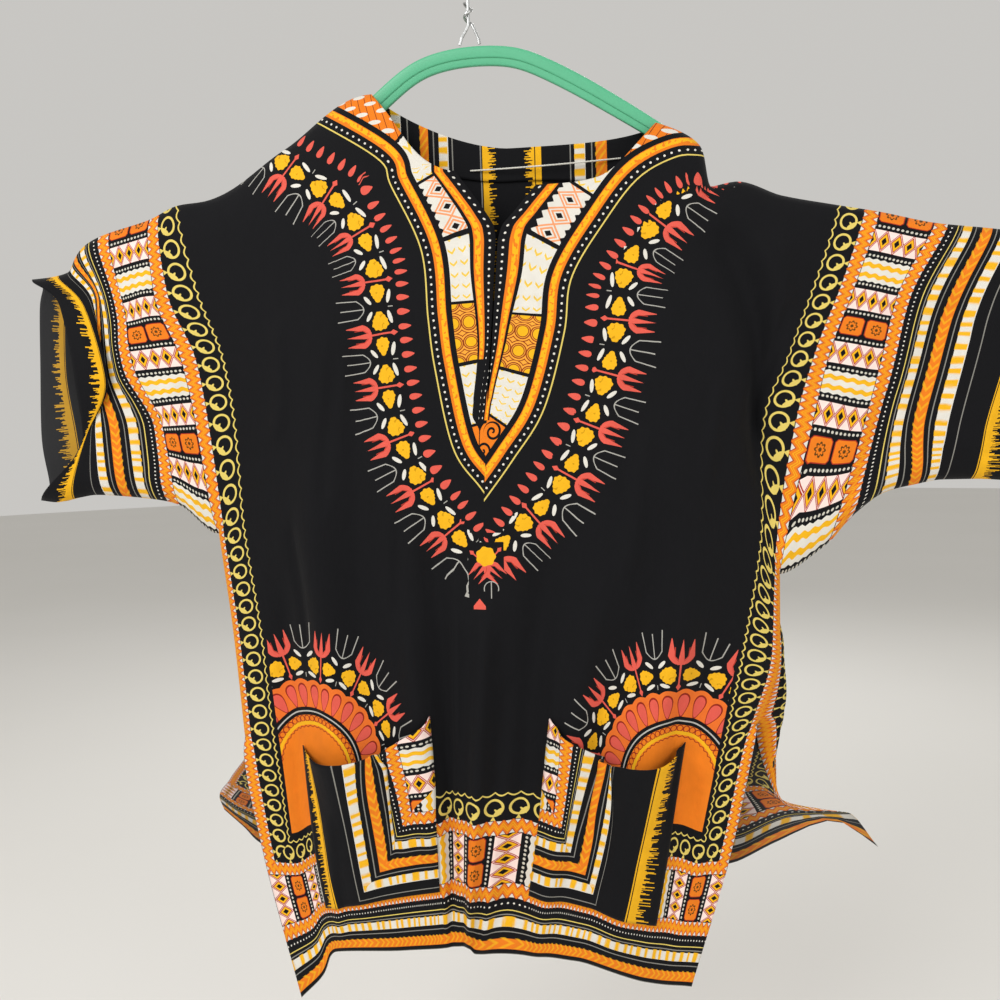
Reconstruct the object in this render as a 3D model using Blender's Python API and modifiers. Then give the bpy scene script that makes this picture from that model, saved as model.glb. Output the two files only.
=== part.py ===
"""Dashiki shirt hanging on a plastic coat hanger, with its wire hook.

The front and the back are cut in one with their half sleeves, so each is a T of flat cloth. Both are
made the same way: a grid on the flat cut (across from the middle, down from the shoulder line) is
carried to where the cloth hangs by a table of sections, and a Solidify modifier gives the wall.
The origin is where the hook rests on its rail. The front faces -Y, and +Z is up. Tables hold
millimetres, and points turn into metres when a mesh is made.
"""

import math

import bpy

for old in list(bpy.data.objects):
    bpy.data.objects.remove(old, do_unlink=True)

MM = 0.001
WALL = 1.2  # cloth
SEAM_GAP = 0.3  # between two pieces that are sewn together
LAID_GAP = 0.3  # between a piece and the panel that it lies on
TURN = 5.0  # at a seam the cloth runs straight from front to back for this far
TURN_EASE = 40.0  # and is back in its own place about this much further on
SEAM_EASE = 25.0  # folds, and each panel's own shape beside the side seam, begin over this far from it

# The flat cut.
CUFF = 520.0  # from the middle to the end of a sleeve
SIDE = 345.0  # from the middle to the side seam
UNDERARM = 285.0  # depth of a sleeve
VENT_TOP = 500.0  # the side seam ends here, and a vent runs on to the hem
HEM = 770.0
NECK = 100.0  # from the middle to the end of the shoulder seam
FRONT_NECK_DROP = 72.0
BACK_NECK_DROP = 42.0
SLIT_END = 275.0
NECK_CURVE = 1.6  # 2 would be a parabola, and less is more pointed
NECK_EASE = 140.0  # the grid's rows crowd together below the neck down to here

# Where the cloth hangs. Each key is a level, down on the flat cut. A row is across, x, z.
FRONT = {
    0: [(-520, -401, -262), (-500, -385, -261), (-463, -366, -257), (-434, -358, -244), (-417, -351, -236),
        (-399, -336, -228), (-345, -287, -215), (-308, -259, -204), (-290, -236, -202), (-200, -163, -163),
        (-100, -84, -121), (0, 29, -131), (100, 154, -159), (142, 190, -181), (172, 198, -213),
        (195, 218, -210), (240, 254, -223), (308, 298, -233), (345, 331, -240), (387, 374, -251),
        (434, 414, -257), (485, 463, -265), (520, 493, -270)],
    75: [(-520, -370, -284), (-500, -357, -285), (-485, -348, -286), (-463, -340, -286), (-434, -333, -286),
         (-417, -329, -287), (-399, -318, -289), (-345, -281, -283), (-308, -238, -285), (-200, -146, -241),
         (-100, -81, -196), (0, 26, -196), (100, 143, -229), (142, 171, -251), (172, 185, -276),
         (195, 203, -277), (240, 238, -288), (308, 276, -297), (345, 309, -301), (387, 342, -309),
         (434, 385, -314), (485, 436, -320), (520, 466, -325)],
    140: [(-520, -353, -355), (-500, -337, -355), (-485, -327, -355), (-478, -325, -354), (-455, -333, -351),
          (-440, -338, -347), (-425, -329, -346), (-399, -312, -344), (-345, -259, -340), (-308, -219, -338),
          (-200, -138, -306), (-100, -77, -259), (0, 22, -260), (100, 138, -285), (172, 184, -335),
          (195, 200, -341), (240, 227, -348), (308, 256, -350), (345, 289, -355), (387, 329, -363),
          (434, 371, -365), (485, 423, -369), (520, 454, -371)],
    200: [(-520, -355, -403), (-500, -353, -402), (-463, -347, -400), (-450, -340, -400), (-434, -324, -398),
          (-417, -308, -397), (-399, -288, -397), (-345, -249, -396), (-308, -211, -391), (-200, -130, -361),
          (-100, -61, -322), (0, 18, -317), (100, 125, -341), (172, 173, -387), (240, 213, -400),
          (308, 237, -403), (345, 276, -410), (387, 315, -417), (434, 359, -417), (485, 410, -418),
          (520, 440, -418)],
    285: [(-520, -406, -460), (-500, -390, -462), (-485, -375, -459), (-463, -352, -456), (-434, -322, -458),
          (-399, -285, -463), (-387, -273, -467), (-345, -238, -493), (-308, -206, -482), (-200, -134, -437),
          (-100, -60, -401), (0, 12, -394), (100, 104, -409), (200, 176, -447), (308, 232, -497),
          (345, 251, -534), (387, 290, -509), (399, 310, -486), (417, 337, -466), (434, 358, -461),
          (463, 382, -457), (485, 405, -457), (520, 436, -459)],
    390: [(-345, -229, -584), (-308, -195, -576), (-200, -128, -534), (-100, -62, -501), (0, 6, -496),
          (100, 94, -507), (200, 166, -537), (308, 217, -588), (345, 251, -602)],
    500: [(-345, -223, -679), (-308, -187, -673), (-262, -161, -658), (-180, -108, -626), (-90, -47, -609),
          (0, -1, -603), (90, 64, -611), (180, 123, -632), (262, 172, -653), (308, 201, -669),
          (345, 232, -663)],
    640: [(-345, -207, -782), (-308, -178, -783), (-262, -154, -770), (-180, -96, -745), (-90, -42, -732),
          (0, -9, -729), (90, 48, -731), (180, 104, -746), (262, 154, -765), (308, 181, -772),
          (345, 208, -772)],
    770: [(-345, -177, -918), (-308, -154, -893), (-285, -146, -874), (-262, -139, -868), (-180, -84, -859),
          (-90, -41, -855), (0, -18, -852), (30, -12, -859), (90, 28, -858), (180, 74, -862),
          (262, 133, -885), (308, 155, -891), (345, 173, -893)],
}
BACK = {
    0: FRONT[0],
    75: [(-520, -408, -280), (-399, -325, -287), (-345, -281, -283), (-200, -146, -241), (-100, -81, -196),
         (0, 26, -196), (100, 143, -229), (172, 187, -270), (240, 238, -288), (345, 309, -301),
         (520, 466, -325)],
    140: [(-520, -412, -341), (-399, -325, -342), (-345, -262, -340), (-200, -138, -306), (0, 22, -260),
          (100, 138, -285), (240, 227, -348), (345, 289, -355), (520, 454, -371)],
    200: [(-520, -415, -402), (-399, -300, -396), (-345, -249, -396), (-200, -130, -361), (0, 18, -317),
          (100, 125, -341), (240, 213, -400), (345, 276, -410), (520, 440, -418)],
    285: FRONT[285],
    390: [(-345, -229, -584), (-200, -128, -534), (0, 6, -496), (200, 166, -537), (308, 252, -595),
          (328, 257, -601), (345, 251, -602)],
    500: [(-345, -223, -679), (-262, -165, -658), (0, -1, -610), (200, 150, -640), (308, 241, -670),
          (328, 257, -657), (345, 232, -663)],
    640: [(-345, -248, -726), (-308, -228, -736), (-200, -155, -749), (0, -19, -751), (200, 132, -743),
          (280, 209, -725), (320, 236, -723), (345, 261, -744)],
    735: [(-345, -260, -745), (-308, -241, -759), (-200, -157, -792), (0, -17, -798), (200, 140, -789),
          (280, 216, -774), (320, 266, -752), (345, 312, -749)],
    770: [(-345, -256, -757), (-308, -238, -774), (-270, -224, -790), (-200, -158, -815), (0, -16, -822),
          (200, 149, -812), (280, 212, -798), (315, 254, -775), (332, 300, -756), (345, 337, -779)],
}

# How far the middle of a panel stands off the plane of the hanger. A row is level, front, back.
STANDOFF = [(0, 22, 16), (75, 26, 18), (200, 38, 22), (390, 46, 26), (640, 42, 26), (770, 38, 26)]
SLEEVE_STANDOFF, SLEEVE_EASE = 17.0, 180.0  # the body reaches its full depth this far inside its side
# How far the slit's edges have moved apart from the middle. A row is level, half width.
SLIT = [(72, 48), (90, 27), (112, 6), (150, 1.2), (275, 0.7)]
SLIT_REACH = 100.0  # the cloth beside the slit moves with it this far across

# The largest folds of a panel. A row is across and down where it starts and where it ends, its half
# width and how far it stands out. A trough has a negative height.
FRONT_FOLDS = [
    (178, 20, 335, 275, 20, -13),
    (232, 30, 325, 180, 22, 5),
    (-150, 140, -165, 620, 26, -8),
    (-215, 250, -215, 760, 26, 9),
    (-275, 330, -285, 760, 18, -6),
    (-62, 330, -62, 790, 20, -9),
    (-110, 430, -100, 700, 18, 6),
    (8, 420, 2, 800, 15, 11),
    (62, 350, 66, 790, 18, -9),
    (120, 380, 112, 800, 18, 7),
    (175, 300, 170, 640, 24, -7),
    (225, 350, 215, 790, 24, 8),
    (268, 380, 285, 760, 18, -6),
    (-400, 90, -360, 240, 20, 5),
    (432, 60, 425, 250, 16, -4),
    (480, 40, 470, 260, 16, 4),
]
FOLD_ENDS = 0.2  # a fold rises and falls within this share of its length
BACK_FOLDS = [
    (-250, 120, -240, 600, 36, 8),
    (-150, 200, -150, 740, 36, -7),
    (-60, 150, -60, 740, 34, 8),
    (40, 200, 40, 740, 34, -7),
    (130, 150, 130, 740, 34, 8),
    (240, 200, 220, 700, 34, -6),
    (-430, 40, -420, 260, 30, 6),
    (430, 40, 420, 260, 30, 6),
]
# The left sleeve's end is folded over itself, so its cloth comes forward from fold to fold.
PLEAT_START, PLEAT_END, PLEAT_OUT = -440.0, -500.0, 12.0
PLEAT_TOP, PLEAT_MIDDLE, PLEAT_BOTTOM = 60.0, 130.0, 205.0
# The side seam is a curve through these levels of the front's table.
SIDE_SEAM = (UNDERARM, 390, VENT_TOP)


def smooth(at, rows, column):
    """A curve through the rows of a table that doesn't overshoot them: its first column is where."""
    xs = [row[0] for row in rows]
    ys = [row[column] for row in rows]
    at = min(max(at, xs[0]), xs[-1])
    i = max(k for k in range(len(xs) - 1) if xs[k] <= at)
    slope = [(ys[k + 1] - ys[k]) / (xs[k + 1] - xs[k]) for k in range(len(xs) - 1)]

    def tangent(k):
        if k in (0, len(xs) - 1):
            return slope[0] if k == 0 else slope[-1]
        before, after = slope[k - 1], slope[k]
        return 2 * before * after / (before + after) if before * after > 0 else 0.0

    width = xs[i + 1] - xs[i]
    t = (at - xs[i]) / width
    start, end = tangent(i) * width, tangent(i + 1) * width
    return (
        ys[i] * (1 + 2 * t) * (1 - t) ** 2
        + start * t * (1 - t) ** 2
        + ys[i + 1] * t * t * (3 - 2 * t)
        + end * t * t * (t - 1)
    )


def ease(t):
    """From 0 to 1 with no kink at either end."""
    t = min(max(t, 0.0), 1.0)
    return t * t * (3 - 2 * t)


def to_segment(u, v, start, end):
    """The nearest point of a straight seam on the flat cut."""
    du, dv = end[0] - start[0], end[1] - start[1]
    t = ((u - start[0]) * du + (v - start[1]) * dv) / (du * du + dv * dv)
    t = min(max(t, 0.0), 1.0)
    return start[0] + t * du, start[1] + t * dv


def nearest_seam(u, v):
    """The nearest point of the overarm, underarm or side seam, and how far it is."""
    way = -1 if u < 0 else 1
    corners = [(way * NECK, 0), (way * CUFF, 0)], [(way * CUFF, UNDERARM), (way * SIDE, UNDERARM)]
    seams = list(corners) + [[(way * SIDE, UNDERARM), (way * SIDE, VENT_TOP)]]
    found = [to_segment(u, v, *seam) for seam in seams]
    return min((math.dist((u, v), point), point) for point in found)


def section_point(table, u, v, levels=None):
    """(x, z) of a point of the flat cut, read from the table's sections."""
    kept = [level for level in (levels or table) if abs(u) <= SIDE or level <= UNDERARM]
    rows = [(level, smooth(u, table[level], 1), smooth(u, table[level], 2)) for level in kept]
    return smooth(v, rows, 1), smooth(v, rows, 2)


def fold_height(folds, u, v):
    height = 0.0
    for u1, v1, u2, v2, half_width, out in folds:
        near_u, near_v = to_segment(u, v, (u1, v1), (u2, v2))
        away = math.dist((u, v), (near_u, near_v)) / half_width
        along = math.dist((near_u, near_v), (u1, v1)) / math.dist((u1, v1), (u2, v2))
        height += out * math.exp(-away * away) * ease(along / FOLD_ENDS) * ease((1 - along) / FOLD_ENDS)
    return height


def hang(u, v, back=False, slit_side=0):
    """Where a point of the flat cut hangs, in millimetres."""
    table, way = (BACK, 1) if back else (FRONT, -1)
    distance, (seam_u, seam_v) = nearest_seam(u, v)
    beyond = max(distance - TURN, 0)
    at_seam = math.exp(-(beyond / SEAM_EASE) ** 2)
    pull = distance if distance < TURN else TURN * math.exp((TURN - distance) / TURN_EASE)
    if distance:
        flat_u = u + (seam_u - u) * pull / distance
        flat_v = v + (seam_v - v) * pull / distance
    else:
        flat_u, flat_v = u, v
    x, z = section_point(table, flat_u, flat_v)
    # Front and back share the side seam's own curve, whatever their other sections are.
    if abs(seam_u) == SIDE and UNDERARM <= seam_v <= VENT_TOP:
        seam = section_point(FRONT, seam_u, seam_v, SIDE_SEAM)
        table_seam = section_point(table, seam_u, seam_v)
        x += at_seam * (seam[0] - table_seam[0])
        z += at_seam * (seam[1] - table_seam[1])
    middle = smooth(v, STANDOFF, 2 if back else 1)
    depth = SLEEVE_STANDOFF + (middle - SLEEVE_STANDOFF) * ease((SIDE - abs(u)) / SLEEVE_EASE)
    stand = min(distance, TURN) + (depth - TURN) * (1 - math.exp(-beyond / (depth - TURN)))
    stand += (1 - at_seam) * fold_height(BACK_FOLDS if back else FRONT_FOLDS, u, v)
    if not back and u < PLEAT_START:
        rise = ease((v - PLEAT_TOP) / (PLEAT_MIDDLE - PLEAT_TOP))
        fall = ease((PLEAT_BOTTOM - v) / (PLEAT_BOTTOM - PLEAT_MIDDLE))
        stand += PLEAT_OUT * min(1, (PLEAT_START - u) / (PLEAT_START - PLEAT_END)) * rise * fall
    if slit_side and v < SLIT_END:
        x += slit_side * smooth(v, SLIT, 1) * math.cos(math.pi / 2 * min(1, abs(u) / SLIT_REACH)) ** 2
    return x, way * (SEAM_GAP / 2 + stand), z


def neck_edge(u, drop):
    """How far down the neck's edge is, on the flat cut."""
    return drop * (1 - (abs(u) / NECK) ** NECK_CURVE) if abs(u) < NECK else 0.0


def eased_row(u, v, drop):
    """A grid row's place in its column: below the neck the rows start at its edge."""
    top = neck_edge(u, drop)
    return top + v * (1 - top / NECK_EASE) if v < NECK_EASE else v


def lines(stops):
    """Grid lines from one stop to the next. A row is a stop and the widest step up to it."""
    out = [stops[0][0]]
    for (start, _), (end, step) in zip(stops, stops[1:]):
        count = max(1, math.ceil(abs(end - start) / step))
        out += [start + (end - start) * k / count for k in range(1, count + 1)]
    return out


def surface(name, points, faces):
    """An open sheet of quads from points in millimetres. A face lists points by their keys."""
    index = {key: i for i, key in enumerate(points)}
    mesh = bpy.data.meshes.new(name)
    vertices = [[value * MM for value in point] for point in points.values()]
    mesh.from_pydata(vertices, [], [[index[key] for key in face] for face in faces])
    return bpy.data.objects.new(name, mesh)


def wall(obj, thickness=WALL):
    solidify = obj.modifiers.new("wall", "SOLIDIFY")
    solidify.thickness = thickness * MM
    solidify.offset = 0.0
    return obj


def material(name, colour, roughness, metallic=0.0):
    made = bpy.data.materials.new(name)
    made.use_nodes = True
    shader = made.node_tree.nodes["Principled BSDF"]
    shader.inputs["Base Color"].default_value = (*colour, 1)
    shader.inputs["Roughness"].default_value = roughness
    shader.inputs["Metallic"].default_value = metallic
    return made


shirt = bpy.data.collections.new("dashiki_shirt")
bpy.context.scene.collection.children.link(shirt)


def add(obj, made_of):
    shirt.objects.link(obj)
    obj.data.materials.append(made_of)
    return obj


# Front panel, with the slit down the middle.
FRONT_COLUMNS = lines(
    [(-CUFF, 0), (-485, 12), (-425, 8), (-399, 13), (-SIDE, 18), (TURN - SIDE, TURN), (-262, 20)]
    + [(-NECK, 21), (0, 17)]
)
FRONT_COLUMNS_RIGHT = lines(
    [(0, 0), (NECK, 17), (142, 14), (195, 14), (262, 17), (SIDE - TURN, 20), (SIDE, TURN), (399, 18)]
    + [(CUFF, 18)]
)
FRONT_ROWS = lines(
    [(0, 0), (TURN, TURN), (40, 18), (UNDERARM - 10, 20), (UNDERARM - TURN, TURN), (UNDERARM, TURN)]
    + [(VENT_TOP, 27), (575, 17), (HEM, 24)]
)


def panel(name, columns, rows, drop, back=False):
    """A T of cloth. Each column is its place across and the side of the slit that it lies on."""
    points, faces = {}, []

    def key(column, v):
        u, side = column
        return (u, v) if v >= SLIT_END or u else (u, v, side)

    for left, right in zip(columns, columns[1:]):
        if left[0] == right[0]:
            continue
        for top, bottom in zip(rows, rows[1:]):
            if max(abs(left[0]), abs(right[0])) > SIDE and bottom > UNDERARM:
                continue
            corners = [(left, top), (left, bottom), (right, bottom), (right, top)]
            for column, v in corners:
                if key(column, v) not in points:
                    down = eased_row(column[0], v, drop)
                    points[key(column, v)] = hang(column[0], down, back, column[1])
            face = [key(column, v) for column, v in corners]
            faces.append(face[::-1] if back else face)
    return wall(surface(name, points, faces))


front_columns = [(u, -1) for u in FRONT_COLUMNS] + [(u, 1) for u in FRONT_COLUMNS_RIGHT]
cotton = material("printed_cotton_front", (0.010, 0.010, 0.012), 0.8)
add(panel("front", front_columns, FRONT_ROWS, FRONT_NECK_DROP), cotton)

# Back panel, in one piece from sleeve to sleeve.
BACK_COLUMNS = lines(
    [(-CUFF, 0), (-399, 31), (-SIDE, 27), (TURN - SIDE, TURN), (-NECK, 27), (0, 12.5), (NECK, 12.5)]
    + [(280, 26), (SIDE - TURN, 12), (SIDE, TURN), (CUFF, 30)]
)
BACK_ROWS = lines(
    [(0, 0), (TURN, TURN), (40, 18), (UNDERARM - TURN, 35), (UNDERARM, TURN), (VENT_TOP, 36), (640, 28)]
    + [(HEM, 22)]
)
back_columns = [(u, 0) for u in BACK_COLUMNS]
cotton_back = material("printed_cotton_back", (0.010, 0.010, 0.012), 0.8)
add(panel("back", back_columns, BACK_ROWS, BACK_NECK_DROP, back=True), cotton_back)


def patch(name, columns, rows, base, stand_off):
    """A piece laid on a panel: the panel's own points, moved out along its normal."""
    points = {}
    for u in columns:
        for k, v in enumerate(rows(u)):
            here, right, below = base(u, v), base(u + 1, v), base(u, v + 1)
            a = [right[i] - here[i] for i in range(3)]
            b = [below[i] - here[i] for i in range(3)]
            normal = (a[1] * b[2] - a[2] * b[1], a[2] * b[0] - a[0] * b[2], a[0] * b[1] - a[1] * b[0])
            size = math.hypot(*normal)
            facing = -1 if normal[1] > 0 else 1
            out = stand_off(u, v) * facing / size
            points[u, k] = tuple(here[i] + normal[i] * out for i in range(3))
    faces = [
        [(left, k), (left, k + 1), (right, k + 1), (right, k)]
        for left, right in zip(columns, columns[1:])
        for k in range(len(rows(left)) - 1)
    ]
    return wall(surface(name, points, faces))


# Patch pockets on the lower front. The mouth sags and stands open between its two tacked corners.
POCKET_INNER, POCKET_OUTER, POCKET_BOTTOM = 90.0, 262.0, 715.0
MOUTH_INNER, MOUTH_OUTER, MOUTH_SAG, MOUTH_OPEN = 541.0, 525.0, 32.0, 18.0
MOUTH_CURVE = 0.8  # 1 would be a sine, and less is flatter along its middle
MOUTH_DEPTH, MOUTH_CLOSE = 110.0, 1.5  # the opening closes over this far down, and how soon
POCKET_EASE = 620.0  # the grid's rows crowd together below the mouth down to here
POCKET_ROW = 14.0  # between the mouth and the first of the front's rows
POCKET_MARGIN = 8.0  # the front's grid lines closer to a pocket's edge than this are left out
# Walls on a folded panel: facets bridge its curves, so the gap is a little over LAID_GAP.
POCKET_STAND = WALL + LAID_GAP + 0.5


def mouth(u):
    """How far down the pocket's mouth is, on the flat cut."""
    t = (abs(u) - POCKET_INNER) / (POCKET_OUTER - POCKET_INNER)
    return MOUTH_INNER + (MOUTH_OUTER - MOUTH_INNER) * t + MOUTH_SAG * math.sin(math.pi * t) ** MOUTH_CURVE


def pocket_rows(u):
    top = mouth(u)
    levels = [v for v in FRONT_ROWS if MOUTH_OUTER + MOUTH_SAG < v < POCKET_BOTTOM - POCKET_MARGIN]
    scale = (POCKET_EASE - top) / (POCKET_EASE - levels[0] + POCKET_ROW)
    eased = [POCKET_EASE - (POCKET_EASE - v) * scale if v < POCKET_EASE else v for v in levels]
    return [top] + eased + [POCKET_BOTTOM]


def pocket_stand(u, v):
    t = (abs(u) - POCKET_INNER) / (POCKET_OUTER - POCKET_INNER)
    depth = max(0.0, 1 - (v - mouth(u)) / MOUTH_DEPTH)
    return POCKET_STAND + MOUTH_OPEN * max(0.0, math.sin(math.pi * t)) * depth ** MOUTH_CLOSE


for side, name in ((-1, "pocket_left"), (1, "pocket_right")):
    wanted = FRONT_COLUMNS if side < 0 else FRONT_COLUMNS_RIGHT
    inside = [u for u in wanted if POCKET_INNER + POCKET_MARGIN < abs(u) < POCKET_OUTER - POCKET_MARGIN]
    ends = [side * POCKET_INNER, side * POCKET_OUTER]
    pocket_columns = sorted(inside + ends)
    pocket = patch(name, pocket_columns, pocket_rows, hang, pocket_stand)
    add(pocket, material("printed_cotton_" + name, (0.012, 0.012, 0.014), 0.8))

# Facing along the inside of the back neck, its printed side to the front. It has the back's own grid.
FACING_HALF, FACING_DEPTH = 90.0, 45.0
FACING_STAND = WALL + LAID_GAP + 0.6  # on facets, like the pockets
FACING_ROWS = [v for v in BACK_ROWS if v <= FACING_DEPTH]


def on_back(u, v):
    return hang(u, v, back=True)


def facing_rows(u):
    return [eased_row(u, v, BACK_NECK_DROP) for v in FACING_ROWS]


facing_columns = [u for u in BACK_COLUMNS if abs(u) < FACING_HALF]
facing = patch("neck_facing", facing_columns, facing_rows, on_back, lambda u, v: FACING_STAND)
add(facing, material("printed_cotton_facing", (0.02, 0.018, 0.012), 0.8))


def tube(name, route, radius, resolution=2):
    """A wire or cord along points in millimetres."""
    curve = bpy.data.curves.new(name, "CURVE")
    curve.dimensions = "3D"
    curve.bevel_depth = radius * MM
    curve.bevel_resolution = resolution
    curve.use_fill_caps = True
    spline = curve.splines.new("POLY")
    spline.points.add(len(route) - 1)
    for point, place in zip(spline.points, route):
        point.co = (*[value * MM for value in place], 1)
    return bpy.data.objects.new(name, curve)


# White hanging string across the inside of the neck, its ends tacked to the facing.
STRING_RADIUS = 0.7
STRING_LEFT, STRING_RIGHT = (-4, 14.0, -184), (125, 13.1, -188)
STRING_SAG, STRING_BOW = 3.0, 5.0  # its middle hangs lower and stands forward of its ends
STRING_STEPS = 12
string_route = []
for k in range(STRING_STEPS + 1):
    t = k / STRING_STEPS
    x, y, z = [a + (b - a) * t for a, b in zip(STRING_LEFT, STRING_RIGHT)]
    curved = math.sin(math.pi * t)
    string_route.append((x, y - STRING_BOW * curved, z - STRING_SAG * curved))
add(tube("neck_loop", string_route, STRING_RADIUS), material("white_string", (0.8, 0.79, 0.76), 0.7))

# Plastic hanger: one flat bow, thicker at its middle, with its arms inside the shoulders.
# A row is a point of its upper edge: x, z and the depth of the bow there.
BOW = [(-229, -211, 9), (-200, -193, 11), (-163, -170, 12), (-84, -127, 13), (-60, -105, 13), (-44, -92, 13),
       (-22, -86, 13), (5, -85, 13), (30, -87, 13), (45, -92, 13), (90, -117, 13), (150, -164, 13),
       (177, -180, 11), (183, -192, 9)]
BOW_THICK, BOW_ROUND = 7.0, 1.4
outline = bpy.data.curves.new("hanger", "CURVE")
outline.dimensions = "2D"
outline.fill_mode = "BOTH"
outline.extrude = (BOW_THICK / 2 - BOW_ROUND) * MM
outline.bevel_depth = BOW_ROUND * MM
outline.bevel_resolution = 1
outline.resolution_u = 3
edge = outline.splines.new("BEZIER")


def bow_normal(i):
    before, after = BOW[max(i - 1, 0)], BOW[min(i + 1, len(BOW) - 1)]
    dx, dz = after[0] - before[0], after[1] - before[1]
    size = math.hypot(dx, dz)
    return -dz / size, dx / size


def bow_edge(below):
    """The bow's outline this far below its upper edge: its rounded rim stands out past it again."""
    return [
        (x - bow_normal(i)[0] * below(depth), z - bow_normal(i)[1] * below(depth))
        for i, (x, z, depth) in enumerate(BOW)
    ]


ring = bow_edge(lambda depth: BOW_ROUND) + bow_edge(lambda depth: depth - BOW_ROUND)[::-1]
edge.bezier_points.add(len(ring) - 1)
for point, (x, z) in zip(edge.bezier_points, ring):
    point.co = (x * MM, z * MM, 0)
    point.handle_left_type = point.handle_right_type = "AUTO"
edge.use_cyclic_u = True
bow = bpy.data.objects.new("hanger", outline)
bow.rotation_euler = (math.pi / 2, 0, 0)
add(bow, material("mint_plastic", (0.10, 0.50, 0.30), 0.45))

# Wire hook: two legs stand on the bow, twist round each other and run on as one shank to the hook.
WIRE = 1.3
CREST = 22.0  # radius of the hook's inside
LEG_FOOT_Z = -84.0
TWIST_LOW, TWIST_HIGH, TURNS = -68.0, -50.0, 1.5
HOOK_START, HOOK_TURN = -52.0, 232.0  # degrees round the crest, from the shank to the tip
ROUND_STEPS = 18
hook_radius = CREST + WIRE
shank_x = 0.0
route = [(-8, 0, LEG_FOOT_Z), (-6, 0, -78), (-2, 0, -72), (shank_x, 0, TWIST_LOW), (shank_x, 0, TWIST_HIGH)]
route += [(shank_x, 0, -44), (1.5, 0, -38), (5, 0, -32)]
for k in range(ROUND_STEPS + 1):
    angle = math.radians(HOOK_START + HOOK_TURN * k / ROUND_STEPS)
    route.append((hook_radius * math.cos(angle), 0, -CREST + hook_radius * math.sin(angle)))
add(tube("hanger_hook", route, WIRE), material("steel_wire", (0.60, 0.60, 0.58), 0.3, 1.0))

LEG_GAP = 0.45  # between the wires where they twist
coil = 2 * WIRE + LEG_GAP
second = [(9, 0, LEG_FOOT_Z), (8, 0, -79), (5.5, 0, -73)]
for k in range(ROUND_STEPS + 1):
    t = k / ROUND_STEPS
    angle = 2 * math.pi * TURNS * t
    height = TWIST_LOW + (TWIST_HIGH - TWIST_LOW) * t
    second.append((coil * math.cos(angle), coil * math.sin(angle), height))
add(tube("hanger_leg", second, WIRE), material("steel_wire_leg", (0.60, 0.60, 0.58), 0.3, 1.0))
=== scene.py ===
"""Looks of the dashiki shirt on its hanger. Tables hold millimetres, and a mesh is made in metres."""

import math

import bmesh
import bpy
import numpy as np
from mathutils import Matrix, Vector


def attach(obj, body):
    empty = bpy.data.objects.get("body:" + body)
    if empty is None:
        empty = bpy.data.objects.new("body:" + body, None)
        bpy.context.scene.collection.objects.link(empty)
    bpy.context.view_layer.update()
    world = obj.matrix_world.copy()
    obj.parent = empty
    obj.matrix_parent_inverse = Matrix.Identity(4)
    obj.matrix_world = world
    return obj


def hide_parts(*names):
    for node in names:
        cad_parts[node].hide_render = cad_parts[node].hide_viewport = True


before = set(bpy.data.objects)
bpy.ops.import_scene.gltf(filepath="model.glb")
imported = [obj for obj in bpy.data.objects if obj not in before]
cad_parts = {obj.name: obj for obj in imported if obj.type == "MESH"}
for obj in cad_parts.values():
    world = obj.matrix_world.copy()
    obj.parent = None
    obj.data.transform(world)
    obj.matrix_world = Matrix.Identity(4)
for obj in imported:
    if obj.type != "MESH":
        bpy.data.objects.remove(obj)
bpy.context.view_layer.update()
MM = 0.001


# Camera: level with the chest of the shirt, a little to the right of it and close, as a person
# holding a phone stands. It looks slightly down, and the phone is turned by a degree and a half.
YAW, PITCH, ROLL = math.radians(6.9), math.radians(-4.6), math.radians(-1.6)
looks = Vector((-math.sin(YAW) * math.cos(PITCH), math.cos(YAW) * math.cos(PITCH), math.sin(PITCH)))
level = Vector((math.cos(YAW), math.sin(YAW), 0))
above = level.cross(looks)
across = math.cos(ROLL) * level + math.sin(ROLL) * above
upward = -math.sin(ROLL) * level + math.cos(ROLL) * above
lens = bpy.data.cameras.new("camera")
lens.lens = lens.sensor_width = 36
camera = bpy.data.objects.new("camera", lens)
camera.matrix_world = Matrix.Translation((0.11957, -0.86, -0.39842)) @ Matrix(
    (across, upward, -looks)
).transposed().to_4x4()
bpy.context.scene.collection.objects.link(camera)
bpy.context.scene.camera = camera


# Studio: a wide pale floor under the hanging shirt, a pale room, and large soft lights: a key from
# the upper left in front, a weaker fill from the right, and one behind for the outline.
def linear(code):
    """An sRGB hex colour as linear RGBA."""
    parts = [int(code[i : i + 2], 16) / 255 for i in (1, 3, 5)]
    return (*[p / 12.92 if p <= 0.04045 else ((p + 0.055) / 1.055) ** 2.4 for p in parts], 1)


def add_node(tree, kind, settings, *values):
    """Adds a node with its settings. Its open inputs are linked or set in order, and None leaves one."""
    made = tree.nodes.new("ShaderNode" + kind)
    for name, value in settings.items():
        setattr(made, name, value)
    for socket, value in zip([s for s in made.inputs if s.enabled], values):
        value = getattr(value, "socket", value)
        if isinstance(value, bpy.types.NodeSocket):
            tree.links.new(value, socket)
        elif value is not None:
            socket.default_value = value
    return made


def show(name, mesh, *materials):
    """Links a finished mesh as a piece, with its materials."""
    piece = bpy.data.objects.new(name, mesh)
    bpy.context.scene.collection.objects.link(piece)
    for made in materials:
        mesh.materials.append(made)
    return piece


def finish_of(name, roughness):
    """An empty material: its node tree and its shader."""
    made = bpy.data.materials.new(name)
    made.use_nodes = True
    shader = made.node_tree.nodes["Principled BSDF"]
    shader.inputs["Roughness"].default_value = roughness
    return made, made.node_tree, shader


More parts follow.
